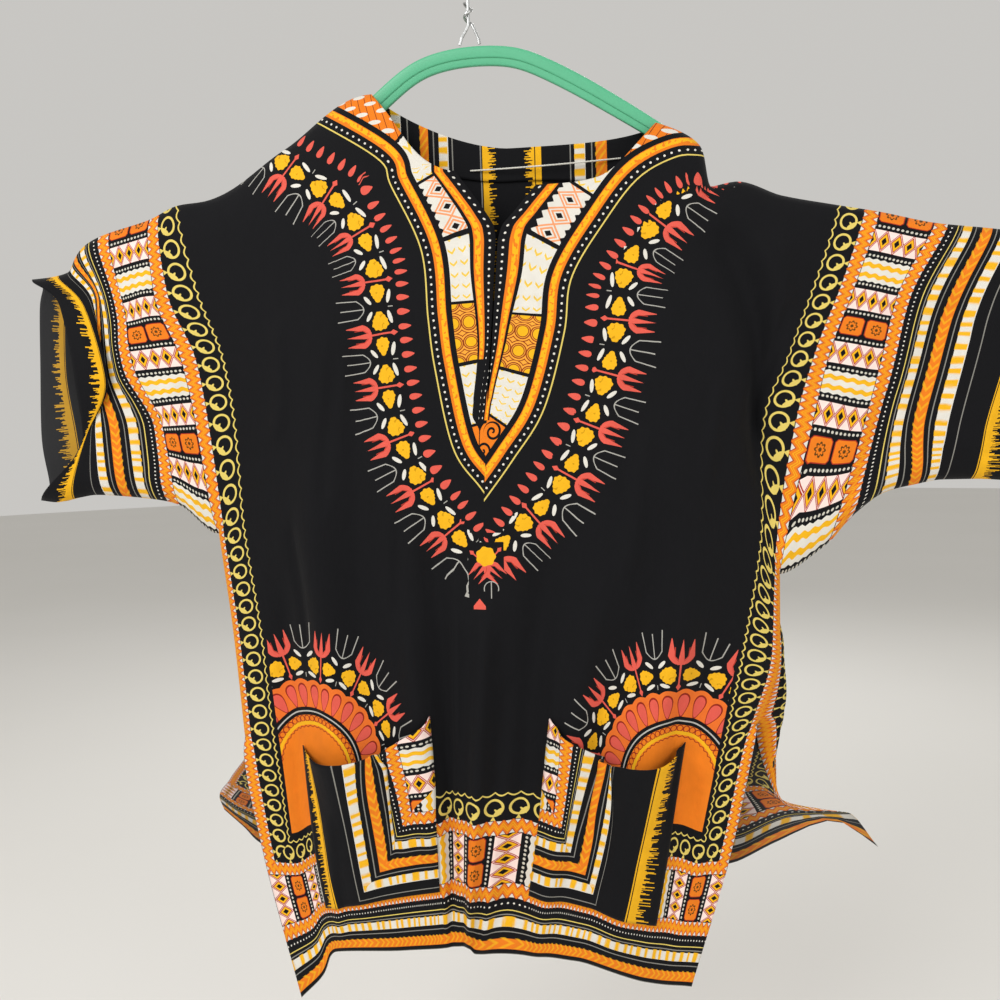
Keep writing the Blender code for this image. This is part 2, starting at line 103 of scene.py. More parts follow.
floor_paint, tree, shader = finish_of("pale_floor_paint", 0.7)
mottle = add_node(tree, "TexNoise", {}, add_node(tree, "TexCoord", {}).outputs["Object"], 1.5, 3.0)
tone = add_node(tree, "Mix", {"data_type": "RGBA"}, mottle.outputs[0], linear("#d9d7d2"), linear("#dedcd8"))
tree.links.new(tone.outputs[2], shader.inputs["Base Color"])
ground = bmesh.new()
bmesh.ops.create_circle(ground, cap_ends=True, segments=96, radius=9)
bmesh.ops.translate(ground, vec=(0, 0, -1.12), verts=ground.verts)
floor_mesh = bpy.data.meshes.new("studio_floor")
ground.to_mesh(floor_mesh)
show("studio_floor", floor_mesh, floor_paint)

room = bpy.data.worlds.new("pale_room")
room.use_nodes = True
room.node_tree.nodes["Background"].inputs["Color"].default_value = linear("#dddbd7")
room.node_tree.nodes["Background"].inputs["Strength"].default_value = 0.8
bpy.context.scene.world = room
for name, place, size, power in (
    ("key", (-1.3, -2.0, 0.9), 1.4, 46),
    ("fill", (1.9, -1.8, 0.1), 1.6, 18),
    ("rim", (0.2, 1.9, 0.9), 1.4, 22),
):
    soft = bpy.data.lights.new(name, "AREA")
    soft.size, soft.energy = size, power
    lamp = bpy.data.objects.new(name, soft)
    lamp.location = place
    lamp.rotation_euler = (Vector((0, 0, -0.5)) - Vector(place)).to_track_quat("-Z", "Y").to_euler()
    bpy.context.scene.collection.objects.link(lamp)
bpy.context.scene.view_settings.view_transform = "Standard"


# Printed cotton: a thin plain-weave cloth, black ground, the colours printed on one side only. The
# other side shows them faded. A print is drawn with arithmetic on the cloth's own coordinates.
BLACK, WHITE, YELLOW, ORANGE = linear("#0e0e11"), linear("#dcd8ce"), linear("#ecb01c"), linear("#e57a1c")
CORAL, RED, PALE_LINE, GREY_LINE = linear("#dc5b4d"), linear("#a83220"), linear("#dcc566"), linear("#85837c")
THREAD = 0.9  # real threads are 0.35 mm apart, drawn coarser so that they show


class Field:
    """A number that varies over the cloth. Arithmetic on it adds Math nodes."""

    def __init__(self, socket):
        self.socket = socket

    def to(self, operation, *others, before=()):
        tree = self.socket.id_data
        settings = {"operation": operation}
        return Field(add_node(tree, "Math", settings, *before, self, *others).outputs[0])

    def __add__(self, other):
        return self.to("ADD", other)

    def __sub__(self, other):
        return self.to("SUBTRACT", other)

    def __rsub__(self, other):
        return self.to("SUBTRACT", before=(other,))

    def __mul__(self, other):
        return self.to("MULTIPLY", other)

    __radd__, __rmul__ = __add__, __mul__

    def __truediv__(self, other):
        return self.to("DIVIDE", other)

    def __abs__(self):
        return self.to("ABSOLUTE")

    def __lt__(self, other):
        return self.to("LESS_THAN", other)

    def __gt__(self, other):
        return self.to("GREATER_THAN", other)

    def __or__(self, other):
        return self.to("MAXIMUM", other)

    def __and__(self, other):
        return self.to("MINIMUM", other)

    def within(self, centre, half):
        """1 where this is within half of centre."""
        return self.to("COMPARE", centre, half)

    def wrap(self, period, start=0.0):
        """This, counted again from start in every period."""
        return self.to("WRAP", start + period, start)

    def fold(self, period):
        """Distance from the nearest multiple of period."""
        return self.to("PINGPONG", period / 2)


def length(x, y):
    return (x * x + y * y).to("SQRT")


def ellipse(x, y, at, half, turn=0.0):
    """1 inside an ellipse with its half axes, turned by degrees."""
    c, s = math.cos(math.radians(turn)), math.sin(math.radians(turn))
    dx, dy = x - at[0], y - at[1]
    return length((dx * c + dy * s) / half[0], (dy * c - dx * s) / half[1]) < 1.0


class Print:
    """What is printed on a cloth: each colour is laid over the ones before it."""

    def __init__(self, tree, ground):
        self.tree, self.top = tree, ground

    def lay(self, where, colour):
        """Colour where the field is 1. It may be another print."""
        colour = getattr(colour, "top", colour)
        made = add_node(self.tree, "Mix", {"data_type": "RGBA"}, where, self.top, colour)
        self.top = made.outputs[2]


def uv_of(tree, name):
    """The two coordinates of a UV map, in millimetres."""
    parts = add_node(tree, "SeparateXYZ", {}, add_node(tree, "UVMap", {"uv_map": name}).outputs[0])
    return Field(parts.outputs[0]) * 1000, Field(parts.outputs[1]) * 1000


def noise_of(x, y, size, detail=1.0):
    """Smooth noise from 0 to 1 with a grain of size."""
    tree = x.socket.id_data
    spot = add_node(tree, "CombineXYZ", {}, x / size, y / size, 0.0)
    return Field(add_node(tree, "TexNoise", {}, spot.outputs[0], 1.0, detail).outputs[0])


def soft_step(value, low, high):
    tree = value.socket.id_data
    made = add_node(tree, "MapRange", {"interpolation_type": "SMOOTHSTEP"}, value, low, high, 0.0, 1.0)
    return Field(made.outputs[0])


def bands(value, rows, reach):
    """A constant colour from each place on, read from a table. Reach is the last place."""
    tree = value.socket.id_data
    made = add_node(tree, "ValToRGB", {}, value / reach)
    ramp = made.color_ramp
    ramp.interpolation = "CONSTANT"
    for place, colour in rows[2:]:
        ramp.elements.new(place / reach)
    for element, (place, colour) in zip(ramp.elements, rows):
        element.position, element.color = place / reach, colour
    return made.outputs[0]


def cotton(name, design, faded=False):
    """The cloth with its print, which a design draws."""
    made, tree, shader = finish_of(name, 0.82)
    u, v = uv_of(tree, "cut")
    ink = Print(tree, BLACK)
    design(ink)
    worn = noise_of(u, v, 14, 3.0) * 0.22 + 0.88
    shade = {"blend_type": "MULTIPLY", "data_type": "RGBA"}
    grey = add_node(tree, "CombineColor", {}, worn, worn, worn).outputs[0]
    colour = add_node(tree, "Mix", shade, 1.0, ink.top, grey)
    ink.top = colour.outputs[2]
    if faded:
        ink.lay(0.38, linear("#454546"))
    tree.links.new(ink.top, shader.inputs["Base Color"])
    shader.inputs["Sheen Weight"].default_value = 0.05
    shader.inputs["Sheen Roughness"].default_value = 0.4
    shader.inputs["Specular IOR Level"].default_value = 0.15
    # Threads go over and under each other, and some are thicker than others.
    warp, weft = (u * (2 * math.pi / THREAD)).to("SINE"), (v * (2 * math.pi / THREAD)).to("SINE")
    slubs = noise_of(u, v * 0.15, 2.2, 2.0) + noise_of(u * 0.15, v, 2.2, 2.0)
    creases = noise_of(u, v * 0.35, 26, 3.0)
    height = warp * weft * 0.1 + slubs * 0.25 + creases * 5.0
    bump = add_node(tree, "Bump", {}, 0.6)
    bump.inputs["Distance"].default_value = 0.4 * MM
    tree.links.new(height.socket, bump.inputs["Height"])
    tree.links.new(bump.outputs[0], shader.inputs["Normal"])
    return made


def plain(ink):
    ink.lay(0.0, BLACK)


# The border print frames the cloth on both sides and along the hem. D counts outward from its inner
# edge, and S along it: ring chain, zigzag, band of squares, zigzag, and ikat stripes to the edge.
FRAME, FRAME_FOOT = 308.0, 622.0  # its inner edge, across and down on the cut
PERIOD = 104.0  # the squares come round again
BLUSH = linear("#f6dcd4")
INK = [
    (0, BLACK), (99.4, PALE_LINE), (100.4, BLACK), (103.2, GREY_LINE), (103.9, BLACK),
    (105.4, WHITE), (113.4, BLACK), (116.6, GREY_LINE), (117.3, BLACK), (121.8, ORANGE),
    (130.2, BLACK), (134.0, GREY_LINE), (134.7, BLACK), (138.0, WHITE), (146.0, BLACK),
    (154.6, GREY_LINE), (155.3, BLACK), (175.2, YELLOW), (175.9, BLACK), (177.0, YELLOW),
    (182.0, BLACK), (212, BLACK),
]


def zigzag(ink, s, d, start):
    """Orange waves between red edges, 12 mm wide, with a row of white teeth on each side."""
    drawn, middle, tooth = Print(ink.tree, BLACK), start + 6.0, 6.6
    off = abs(d - middle - (s.fold(tooth) - tooth / 4) * 1.5)
    drawn.lay(d.within(middle, 5.6), WHITE)
    for reach, colour in ((5.0, RED), (4.1, ORANGE), (1.5, YELLOW), (0.6, ORANGE)):
        drawn.lay(off < reach, colour)
    ink.lay(d.within(middle, 6.2), drawn)


def line_flower(x, y, size):
    """A round flower of eight petals, drawn as a line with a dot."""
    petals = abs((y.to("ARCTAN2", x) * 4).to("COSINE")) * 0.35 + 0.65
    far = length(x, y) / petals
    return far.within(size * 0.84, size * 0.14) | (far < size * 0.3)


def ikat(ink, s, d, whites, oranges):
    """Stripes whose dye has run along the threads, so that the colours change with soft ends."""
    blur = noise_of(s, d * 0.2, 2.5, 2.0)
    drift = noise_of(s, d * 0.05, 21.0) * 9
    blocks = soft_step((s * (2 * math.pi / 11.5) + drift).to("SINE") + blur * 1.8, 0.5, 1.6)
    ink.lay(whites & blocks, YELLOW)
    slanted = (s + abs(d - 126) * 1.4) * (2 * math.pi / 9) + drift * 0.5
    flames = soft_step(slanted.to("SINE") + blur, 0.4, 1.5)
    ink.lay(oranges & (flames * 0.7), YELLOW)


def hairs(s, width):
    """A random number from 0 to 1 for each width of cloth."""
    tree = s.socket.id_data
    made = add_node(tree, "TexWhiteNoise", {"noise_dimensions": "1D"}, (s / width).to("FLOOR"))
    return Field(made.outputs[0])


def squares(ink, s, d):
    """Flower tiles, diamonds and waves in turn, with beaded bars between them."""
    t, w = (s + 3).wrap(PERIOD), d - 58.0
    drawn = Print(ink.tree, BLACK)
    rows = t.within(34, 9.5) | t.within(88, 9.5)
    lattice = abs(w.wrap(10.6, -5.3)) / 5.3 + abs(t.wrap(54, 7) - 34) / 9.4
    drawn.lay(rows, BLUSH)
    for reach, colour in ((1.12, RED), (0.98, BLUSH), (0.9, RED), (0.74, YELLOW), (0.4, BLACK)):
        drawn.lay(rows & (lattice < reach), colour)
    drawn.lay(abs(t - 61) < w.fold(7.0) * 0.4 + 9.6, WHITE)
    drawn.lay(abs(abs(t - 61 + (w * 0.7).to("SINE") * 0.8) - 4.6) < 2.0, YELLOW)
    x, y = w.wrap(21) - 10.5, t - 9
    for reach, colour in ((0.0, RED), (0.7, ORANGE)):
        notched = (abs(x) < 9.6 - reach) & (abs(y) < 8.4 - reach) & (abs(x) + abs(y) < 15.8 - reach * 1.4)
        drawn.lay(notched, colour)
    drawn.lay(line_flower(x, y, 5.2), linear("#5a3a10"))
    bars = (t.within(21.2, 3.2) | t.within(46.8, 3.2)) | (t.within(75.2, 3.2) | t.within(100.8, 3.2))
    beads = length(w.wrap(3.6, -1.8), (t - 21.2).fold(26.5)) < 1.1
    drawn.lay(bars & beads, linear("#c9c5b8"))
    ink.lay((abs(w) < 21.0) & (d > 37.2), drawn)


def frame_print(ink, foot=FRAME_FOOT):
    p, v = uv_of(ink.tree, "print")
    side, hem = abs(p) - FRAME, v - foot
    on_side, d = side > hem, side | hem
    s = v * on_side + (p + 4) * (1 - on_side)
    ink.top = bands(d, INK, 212)
    ikat(ink, s, d, d.within(109.4, 4.0) | d.within(142.0, 4.0), d.within(126.0, 4.2))
    # The feather stripe's outer side runs out in hairs of many lengths.
    hair = hairs(s, 0.9)
    ink.lay((d > 181.9) & (d - 182 < hair * hair * 13 + 1.5), YELLOW)
    ink.lay(length(s.wrap(4.2, -2.1), d - 95.2) < 0.75, WHITE)
    # Ring chain under a scalloped line, with a leaf in each ring and small teeth below.
    ink.lay((d - abs((s * (math.pi / 9.1)).to("SINE")) * 2.4).within(1.2, 0.7), PALE_LINE)
    x, y = s.wrap(18.2, -9.1), d - 14.0
    leaf = ellipse(x, y, (3.0, 3.4), (4.2, 1.3), -50) | ellipse(x, y, (3.0, 3.4), (3.4, 1.0), 40)
    ink.lay(abs(length(x, y) - 6.6) < 0.95, PALE_LINE)
    ink.lay(leaf, PALE_LINE)
    ink.lay((d > 21.0) & (abs(x) < (d - 21.0) * 0.55) & (d < 25.0), PALE_LINE)
    squares(ink, s, d)
    zigzag(ink, s, d, 25.0)
    zigzag(ink, s, d, 79.0)


# The neck print: bands follow the neck and the slit down to a point. S runs down from the shoulder
# along the outermost line, and W inward from it. Coral drops stand in a row outside the line.
PANELS = [
    (62, 94, "chevrons"), (96, 141, "diamonds"), (144, 190, "chevrons"), (192, 243, "flowers"),
    (246, 296, "chevrons"),
]
GOLD = linear("#e9c24a")


def neck_bands(ink, back=False):
    s, w = uv_of(ink.tree, "print")
    u, v = uv_of(ink.tree, "cut")
    lean = u + soft_step(v, 215, 300) * 7
    slit = 78.0 - w if back else abs(lean) * (1 + soft_step(v, 150, 290) * 1.1)
    v = s if back else v
    # Coral drops.
    x, y = s.wrap(11.4, -5.7), w + 19.5
    ink.lay(length(x / (2.3 - y * 0.2), y / 5.4) < 1.0, CORAL)
    ink.lay(w.within(0.6, 0.6), PALE_LINE)
    ink.lay(length(s.wrap(6.0, -3.0), w - 5.0) < 0.95, WHITE)
    ink.lay(w.within(12.6, 3.6), ORANGE)
    ink.lay(w.within(13.4, 2.2) & (noise_of(s, w, 3.2) > 0.42), YELLOW)
    panel = (w > 21.0) & (slit > 19.5 - soft_step(v, 284, 300) * 18.5)
    drawn = Print(ink.tree, ORANGE)
    for across, down, way in ((6, 300, 1), (-3, 316, -1)):
        x, y = u - across, v - down
        swirl = (length(x, y) * 1.1 + y.to("ARCTAN2", x) * way).to("SINE")
        drawn.lay((swirl > 0.35) & (length(x, y) < 9), BLACK)
    for start, end, kind in PANELS:
        here = (s > start) & (s < end)
        cloth = Print(ink.tree, WHITE)
        middle = w - 34
        if kind == "chevrons":
            tooth = (s + abs(middle.wrap(9.0, -4.5)) * 0.8).wrap(8.5, -4.25)
            cloth.lay((abs(tooth) < 0.9) & (abs(middle.wrap(9.0, -4.5)) < 3.2), GOLD)
        elif kind == "diamonds":
            far = abs(middle) / 11.5 + abs((s - start - 11.2).wrap(15.0, -7.5)) / 7.5
            cloth.lay(far.within(1.0, 0.11) | far.within(0.62, 0.11), linear("#e79868"))
            cloth.lay(far < 0.32, BLACK)
            cloth.lay(abs(middle) > 14.5 - s.fold(7.0) * 1.2, BLACK)
        else:
            far = length(middle.wrap(13.0, -6.5), (s - start).wrap(17.0, -8.5))
            cloth.top = linear("#f0a23a")
            cloth.lay(far.within(6.3, 0.5) | far.within(8.6, 0.4), linear("#8a3a12"))
            cloth.lay(far < 4.8, YELLOW)
            cloth.lay(far.within(4.8, 0.4), linear("#8a3a12"))
        drawn.lay(here, cloth)
        drawn.lay(s.within(end + 1.2, 1.3) | s.within(start - 1.2, 1.3), BLACK)
    ink.lay(panel, drawn)
    # The orange field at the end of the shoulder, with white petals.
    top = (w > 21.0) & (s < 60.0)
    field = Print(ink.tree, ORANGE)
    petal = ellipse(s.wrap(13.0, -6.5), w.wrap(12.0, -6.0), (0, 0), (5.2, 1.9), 40)
    twigs = (s + w * 1.2).wrap(9.0, -4.5).within(0, 0.45)
    field.lay(twigs, linear("#7c2c14"))
    field.lay(petal, WHITE)
    ink.lay(top, field)
    # Bands along the slit: a narrow orange one, then a dotted black edge.
    inner = (s > 62.0) if back else (s > 62.0) & (v < 290) & ((lean > -2.0) | (v < 235))
    ink.lay(inner & (slit < 19.5) & (w > 19.0), BLACK)
    ink.lay(inner & slit.within(12.6, 3.9) & (w > 19.0), ORANGE)
    ink.lay(inner & slit.within(13.2, 2.1) & (w > 19.0) & (noise_of(s, slit, 3.2) > 0.45), YELLOW)
    ink.lay(inner & (length(v.wrap(6.0, -3.0), slit - 4.2) < 0.95) & (w > 21.0), WHITE)


# Flower rows: yellow flowers with white leaves, and tulips that stand out past them, coral ones in
# turn with ones drawn as a thin white line. They go round the neck print and over the arches.
STEP = 22.0  # from one flower to the next
TIP = (8.0, -511.0)  # the lowest flower, across and up


def coral_tulip(ink, t, y):
    """A stem with a bud at its foot and three pointed petals. Y runs outward, T across."""
    ink.lay((abs(t) < 0.75) & y.within(-0.5, 10.5), CORAL)
    ink.lay(abs(t) + abs(y + 10.5) * 0.7 < 2.4, CORAL)
    curve = ((y - 9.5) / 7).to("MAXIMUM", 0.0).to("MINIMUM", 1.0).to("SQRT") * 7.0
    thin = ((31 - y) / 17).to("MAXIMUM", 0.0).to("MINIMUM", 1.0)
    ink.lay(((abs(abs(t) - curve) < thin * 2.7 + 0.2) | (abs(t) < thin * 2.1)) & y.within(20, 11.0), CORAL)
    ink.lay((abs(abs(t) - curve + 2.2) < 0.3) & y.within(18, 6.0), linear("#b8392b"))


def flower_row(ink, s, y):
    """S is along the row, and Y outward from the middle of its flowers."""
    coral_tulip(ink, s.wrap(2 * STEP, -STEP) - STEP / 2, y)
    # Two flowers point at each other, with four white leaves round the place between them.
    q = s.wrap(2 * STEP, STEP / 2) - STEP * 1.5
    a, wide = abs(q) - 11.2, (q > 0) * 1.5 + 5.2
    round_it = (y.to("ARCTAN2", a) * 11).to("COSINE") * 0.05 + 1.0
    flower = length(a / 7.8, y / (wide + a * 0.36)) < round_it
    ink.lay(flower, YELLOW)
    ink.lay(flower & (noise_of(q, y, 5.0, 2.0) > 0.66), linear("#c9930f"))
    leaves = ellipse(abs(q), y, (8.6, -8.6), (5.6, 1.6), -14) | ellipse(abs(q), y, (6.6, 9.0), (4.6, 1.6), 38)
    ink.lay(leaves, WHITE)
    ink.lay((abs(q) < 0.4) & y.within(-9.5, 2.0), linear("#a8a69e"))
    # White tulips, only a line.
    curve = ((y - 13.5) / 6).to("MAXIMUM", 0.0).to("MINIMUM", 1.0).to("SQRT") * 7.8
    outline = (abs(abs(q) - curve - (y - 24) * 0.06) < 0.42) & y.within(26, 11.0)
    foot = (abs(q) < 7.0) & (abs(y - 13.5 - q * q * 0.12) < 0.5)
    ink.lay(outline | foot | ((abs(q) < 0.4) & y.within(24, 10.0)), linear("#a9a7a0"))


def neck_flowers(ink):
    """The row, and at its lowest place one flower with half a tulip on each side and two buds below."""
    s, y = uv_of(ink.tree, "print")
    flower_row(ink, s, y)
    spot = add_node(ink.tree, "SeparateXYZ", {}, add_node(ink.tree, "TexCoord", {}).outputs["Object"])
    x, z = Field(spot.outputs[0]) * 1000 - TIP[0], Field(spot.outputs[2]) * 1000 - TIP[1]
    ink.lay((abs(x) < 15.0) & (z < 12.0), BLACK)
    for at, turn in (((-10, 2), 132.0), ((10, 4), 222.0)):
        c, n = math.cos(math.radians(turn)), math.sin(math.radians(turn))
        across, out = (x - at[0]) * c - (z - at[1]) * n, (x - at[0]) * n + (z - at[1]) * c
        coral_tulip(ink, across * 1.25, out * 1.25 - 8)
    ink.lay(length(x, z) < (z.to("ARCTAN2", x) * 7).to("COSINE") * 0.5 + 8.0, YELLOW)
    rings = (length(x - 4, z + 27).within(6.0, 0.4) & (z > -29)) | ((abs(x - 4) < 0.4) & z.within(-28, 7))
    petals = abs(x + 6).to("PINGPONG", 3.2) * 1.6
    ink.lay((abs(x + 6) < 5.2) & (z > petals - 49.0) & (z < abs(x + 6) * -1.2 - 35.0), CORAL)
    ink.lay(rings, linear("#a9a7a0"))


# The arches at the foot of the front: an orange field under a ring of scallops, a black arc and a
# band of coral drops, with a flower row round it. The coordinates are across and up from its middle.
def arch_print(ink):
    x, up = uv_of(ink.tree, "print")
    rise = up | 0.0
    r, turn = length(x, rise), x.to("ARCTAN2", rise)
    flower_row(ink, turn * 95.0, r - 95.0)
    drops, cell = r - 68.0, (turn * 72.0).wrap(15.0, -7.5)
    edge = abs((turn * (72.0 * math.pi / 15.0)).to("COSINE")) * 2.4 + 79.4
    ink.lay(r < edge, linear("#e5702a"))
    far = length(cell / (4.4 + drops * 0.16), (drops + 1) / 9.0)
    ink.lay(far < 1.22, linear("#8e2416"))
    ink.lay(far < 1.04, CORAL)
    ink.lay(r < 57.0, BLACK)
    ink.lay(r.within(53.4, 0.6), linear("#b9b7b0"))
    ink.lay(r < 50.0, ORANGE)
    scallop = length((turn * 46.0).wrap(5.6, -2.8), r - 47.0)
    ink.lay(scallop.within(2.5, 0.4) & (r < 50), linear("#8e2416"))
    ink.lay(r.within(43.0, 1.5), YELLOW)
    ink.lay((r - (turn * 42.0).fold(5.6) * 0.5).within(39.4, 0.4), linear("#8e2416"))


# Front: one panel with the front halves of both kimono sleeves, slit down the middle from the neck.
# The same tables as the solid's say where each place of the flat cut hangs.
SEAM_GAP = 0.3  # between two pieces that are sewn together
TURN = 5.0  # at a seam the cloth runs straight from front to back for this far

# The flat cut.
CUFF = 520.0  # from the middle to the end of a sleeve
SIDE = 345.0  # from the middle to the side seam
UNDERARM = 285.0  # depth of a sleeve
VENT_TOP = 500.0  # the side seam ends here, and a vent runs on to the hem
HEM = 770.0
NECK = 100.0  # from the middle to the end of the shoulder seam
FRONT_NECK_DROP = 72.0
BACK_NECK_DROP = 42.0
SLIT_END = 275.0
NECK_EASE = 140.0  # the grid's rows crowd together below the neck down to here

# Where the cloth hangs. Each key is a level, down on the flat cut. A row is across, x, z.
FRONT = {
    0: [(-520, -401, -262), (-500, -385, -261), (-463, -366, -257), (-434, -358, -244), (-417, -351, -236),
        (-399, -336, -228), (-345, -287, -215), (-308, -259, -204), (-290, -236, -202), (-200, -163, -163),
        (-100, -84, -121), (0, 29, -131), (100, 154, -159), (142, 190, -181), (172, 198, -213),
        (195, 218, -210), (240, 254, -223), (308, 298, -233), (345, 331, -240), (387, 374, -251),
        (434, 414, -257), (485, 463, -265), (520, 493, -270)],
    75: [(-520, -370, -284), (-500, -357, -285), (-485, -348, -286), (-463, -340, -286), (-434, -333, -286),
         (-417, -329, -287), (-399, -318, -289), (-345, -281, -283), (-308, -238, -285), (-200, -146, -241),
         (-100, -81, -196), (0, 26, -196), (100, 143, -229), (142, 171, -251), (172, 185, -276),
         (195, 203, -277), (240, 238, -288), (308, 276, -297), (345, 309, -301), (387, 342, -309),
         (434, 385, -314), (485, 436, -320), (520, 466, -325)],
    140: [(-520, -353, -355), (-500, -337, -355), (-485, -327, -355), (-478, -325, -354), (-455, -333, -351),
          (-440, -338, -347), (-425, -329, -346), (-399, -312, -344), (-345, -259, -340), (-308, -219, -338),
          (-200, -138, -306), (-100, -77, -259), (0, 22, -260), (100, 138, -285), (172, 184, -335),
          (195, 200, -341), (240, 227, -348), (308, 256, -350), (345, 289, -355), (387, 329, -363),
          (434, 371, -365), (485, 423, -369), (520, 454, -371)],
    200: [(-520, -355, -403), (-500, -353, -402), (-463, -347, -400), (-450, -340, -400), (-434, -324, -398),
          (-417, -308, -397), (-399, -288, -397), (-345, -249, -396), (-308, -211, -391), (-200, -130, -361),
          (-100, -61, -322), (0, 18, -317), (100, 125, -341), (172, 173, -387), (240, 213, -400),
          (308, 237, -403), (345, 276, -410), (387, 315, -417), (434, 359, -417), (485, 410, -418),
          (520, 440, -418)],
    285: [(-520, -406, -460), (-500, -390, -462), (-485, -375, -459), (-463, -352, -456), (-434, -322, -458),
          (-399, -285, -463), (-387, -273, -467), (-345, -238, -493), (-308, -206, -482), (-200, -134, -437),
          (-100, -60, -401), (0, 12, -394), (100, 104, -409), (200, 176, -447), (308, 232, -497),
          (345, 251, -534), (387, 290, -509), (399, 310, -486), (417, 337, -466), (434, 358, -461),
          (463, 382, -457), (485, 405, -457), (520, 436, -459)],
    390: [(-345, -229, -584), (-308, -195, -576), (-200, -128, -534), (-100, -62, -501), (0, 6, -496),
          (100, 94, -507), (200, 166, -537), (308, 217, -588), (345, 251, -602)],
    500: [(-345, -223, -679), (-308, -187, -673), (-262, -161, -658), (-180, -108, -626), (-90, -47, -609),
          (0, -1, -603), (90, 64, -611), (180, 123, -632), (262, 172, -653), (308, 201, -669),
          (345, 232, -663)],
    640: [(-345, -207, -782), (-308, -178, -783), (-262, -154, -770), (-180, -96, -745), (-90, -42, -732),
          (0, -9, -729), (90, 48, -731), (180, 104, -746), (262, 154, -765), (308, 181, -772),
          (345, 208, -772)],
    770: [(-345, -177, -918), (-308, -154, -893), (-285, -146, -874), (-262, -139, -868), (-180, -84, -859),
          (-90, -41, -855), (0, -18, -852), (30, -12, -859), (90, 28, -858), (180, 74, -862),
          (262, 133, -885), (308, 155, -891), (345, 173, -893)],
}
BACK = {
    0: FRONT[0],
    75: [(-520, -408, -280), (-399, -325, -287), (-345, -281, -283), (-200, -146, -241), (-100, -81, -196),
         (0, 26, -196), (100, 143, -229), (172, 187, -270), (240, 238, -288), (345, 309, -301),
         (520, 466, -325)],
    140: [(-520, -412, -341), (-399, -325, -342), (-345, -262, -340), (-200, -138, -306), (0, 22, -260),
          (100, 138, -285), (240, 227, -348), (345, 289, -355), (520, 454, -371)],
    200: [(-520, -415, -402), (-399, -300, -396), (-345, -249, -396), (-200, -130, -361), (0, 18, -317),
          (100, 125, -341), (240, 213, -400), (345, 276, -410), (520, 440, -418)],
    285: FRONT[285],
    390: [(-345, -229, -584), (-200, -128, -534), (0, 6, -496), (200, 166, -537), (308, 252, -595),
          (328, 257, -601), (345, 251, -602)],
    500: [(-345, -223, -679), (-262, -165, -658), (0, -1, -610), (200, 150, -640), (308, 241, -670),
          (328, 257, -657), (345, 232, -663)],
    640: [(-345, -248, -726), (-308, -228, -736), (-200, -155, -749), (0, -19, -751), (200, 132, -743),
          (280, 209, -725), (320, 236, -723), (345, 261, -744)],
    735: [(-345, -260, -745), (-308, -241, -759), (-200, -157, -792), (0, -17, -798), (200, 140, -789),
          (280, 216, -774), (320, 266, -752), (345, 312, -749)],
    770: [(-345, -256, -757), (-308, -238, -774), (-270, -224, -790), (-200, -158, -815), (0, -16, -822),
          (200, 149, -812), (280, 212, -798), (315, 254, -775), (332, 300, -756), (345, 337, -779)],
}

# How far the middle of a panel stands off the plane of the hanger. A row is level, front, back.
STANDOFF = [(0, 22, 16), (75, 26, 18), (200, 38, 22), (390, 46, 26), (640, 42, 26), (770, 38, 26)]
SLEEVE_STANDOFF = 17.0
# How far the slit's edges have moved apart from the middle. A row is level, left, right.
SLIT = [(72, 38, 43), (93, 22, 26), (109, 10, 13), (122, 2.5, 3), (135, 0.8, 0.8), (275, 0.5, 0.5)]
SLIT_REACH = 100.0  # the cloth beside the slit moves with it this far across

# The largest folds of a panel. A row is across and down where it starts and where it ends, its half
# width and how far it stands out. A trough has a negative height.
FRONT_FOLDS = [
    (178, 20, 335, 275, 20, -13),
    (232, 30, 325, 180, 22, 5),
    (-150, 140, -165, 620, 26, -8),
    (-215, 250, -215, 760, 26, 9),
    (-275, 330, -285, 760, 18, -6),
    (-62, 330, -62, 790, 20, -9),
    (-110, 430, -100, 700, 18, 6),
    (8, 420, 2, 800, 15, 11),
    (62, 350, 66, 790, 18, -9),
    (120, 380, 112, 800, 18, 7),
    (175, 300, 170, 640, 24, -7),
    (225, 350, 215, 790, 24, 8),
    (268, 380, 285, 760, 18, -6),
    (-400, 90, -360, 240, 20, 5),
    (432, 60, 425, 250, 16, -4),
    (480, 40, 470, 260, 16, 4),
]
BACK_FOLDS = [
    (-250, 120, -240, 600, 36, 8),
    (-150, 200, -150, 740, 36, -7),
    (-60, 150, -60, 740, 34, 8),
    (40, 200, 40, 740, 34, -7),
    (130, 150, 130, 740, 34, 8),
    (240, 200, 220, 700, 34, -6),
    (-430, 40, -420, 260, 30, 6),
    (430, 40, 420, 260, 30, 6),
]
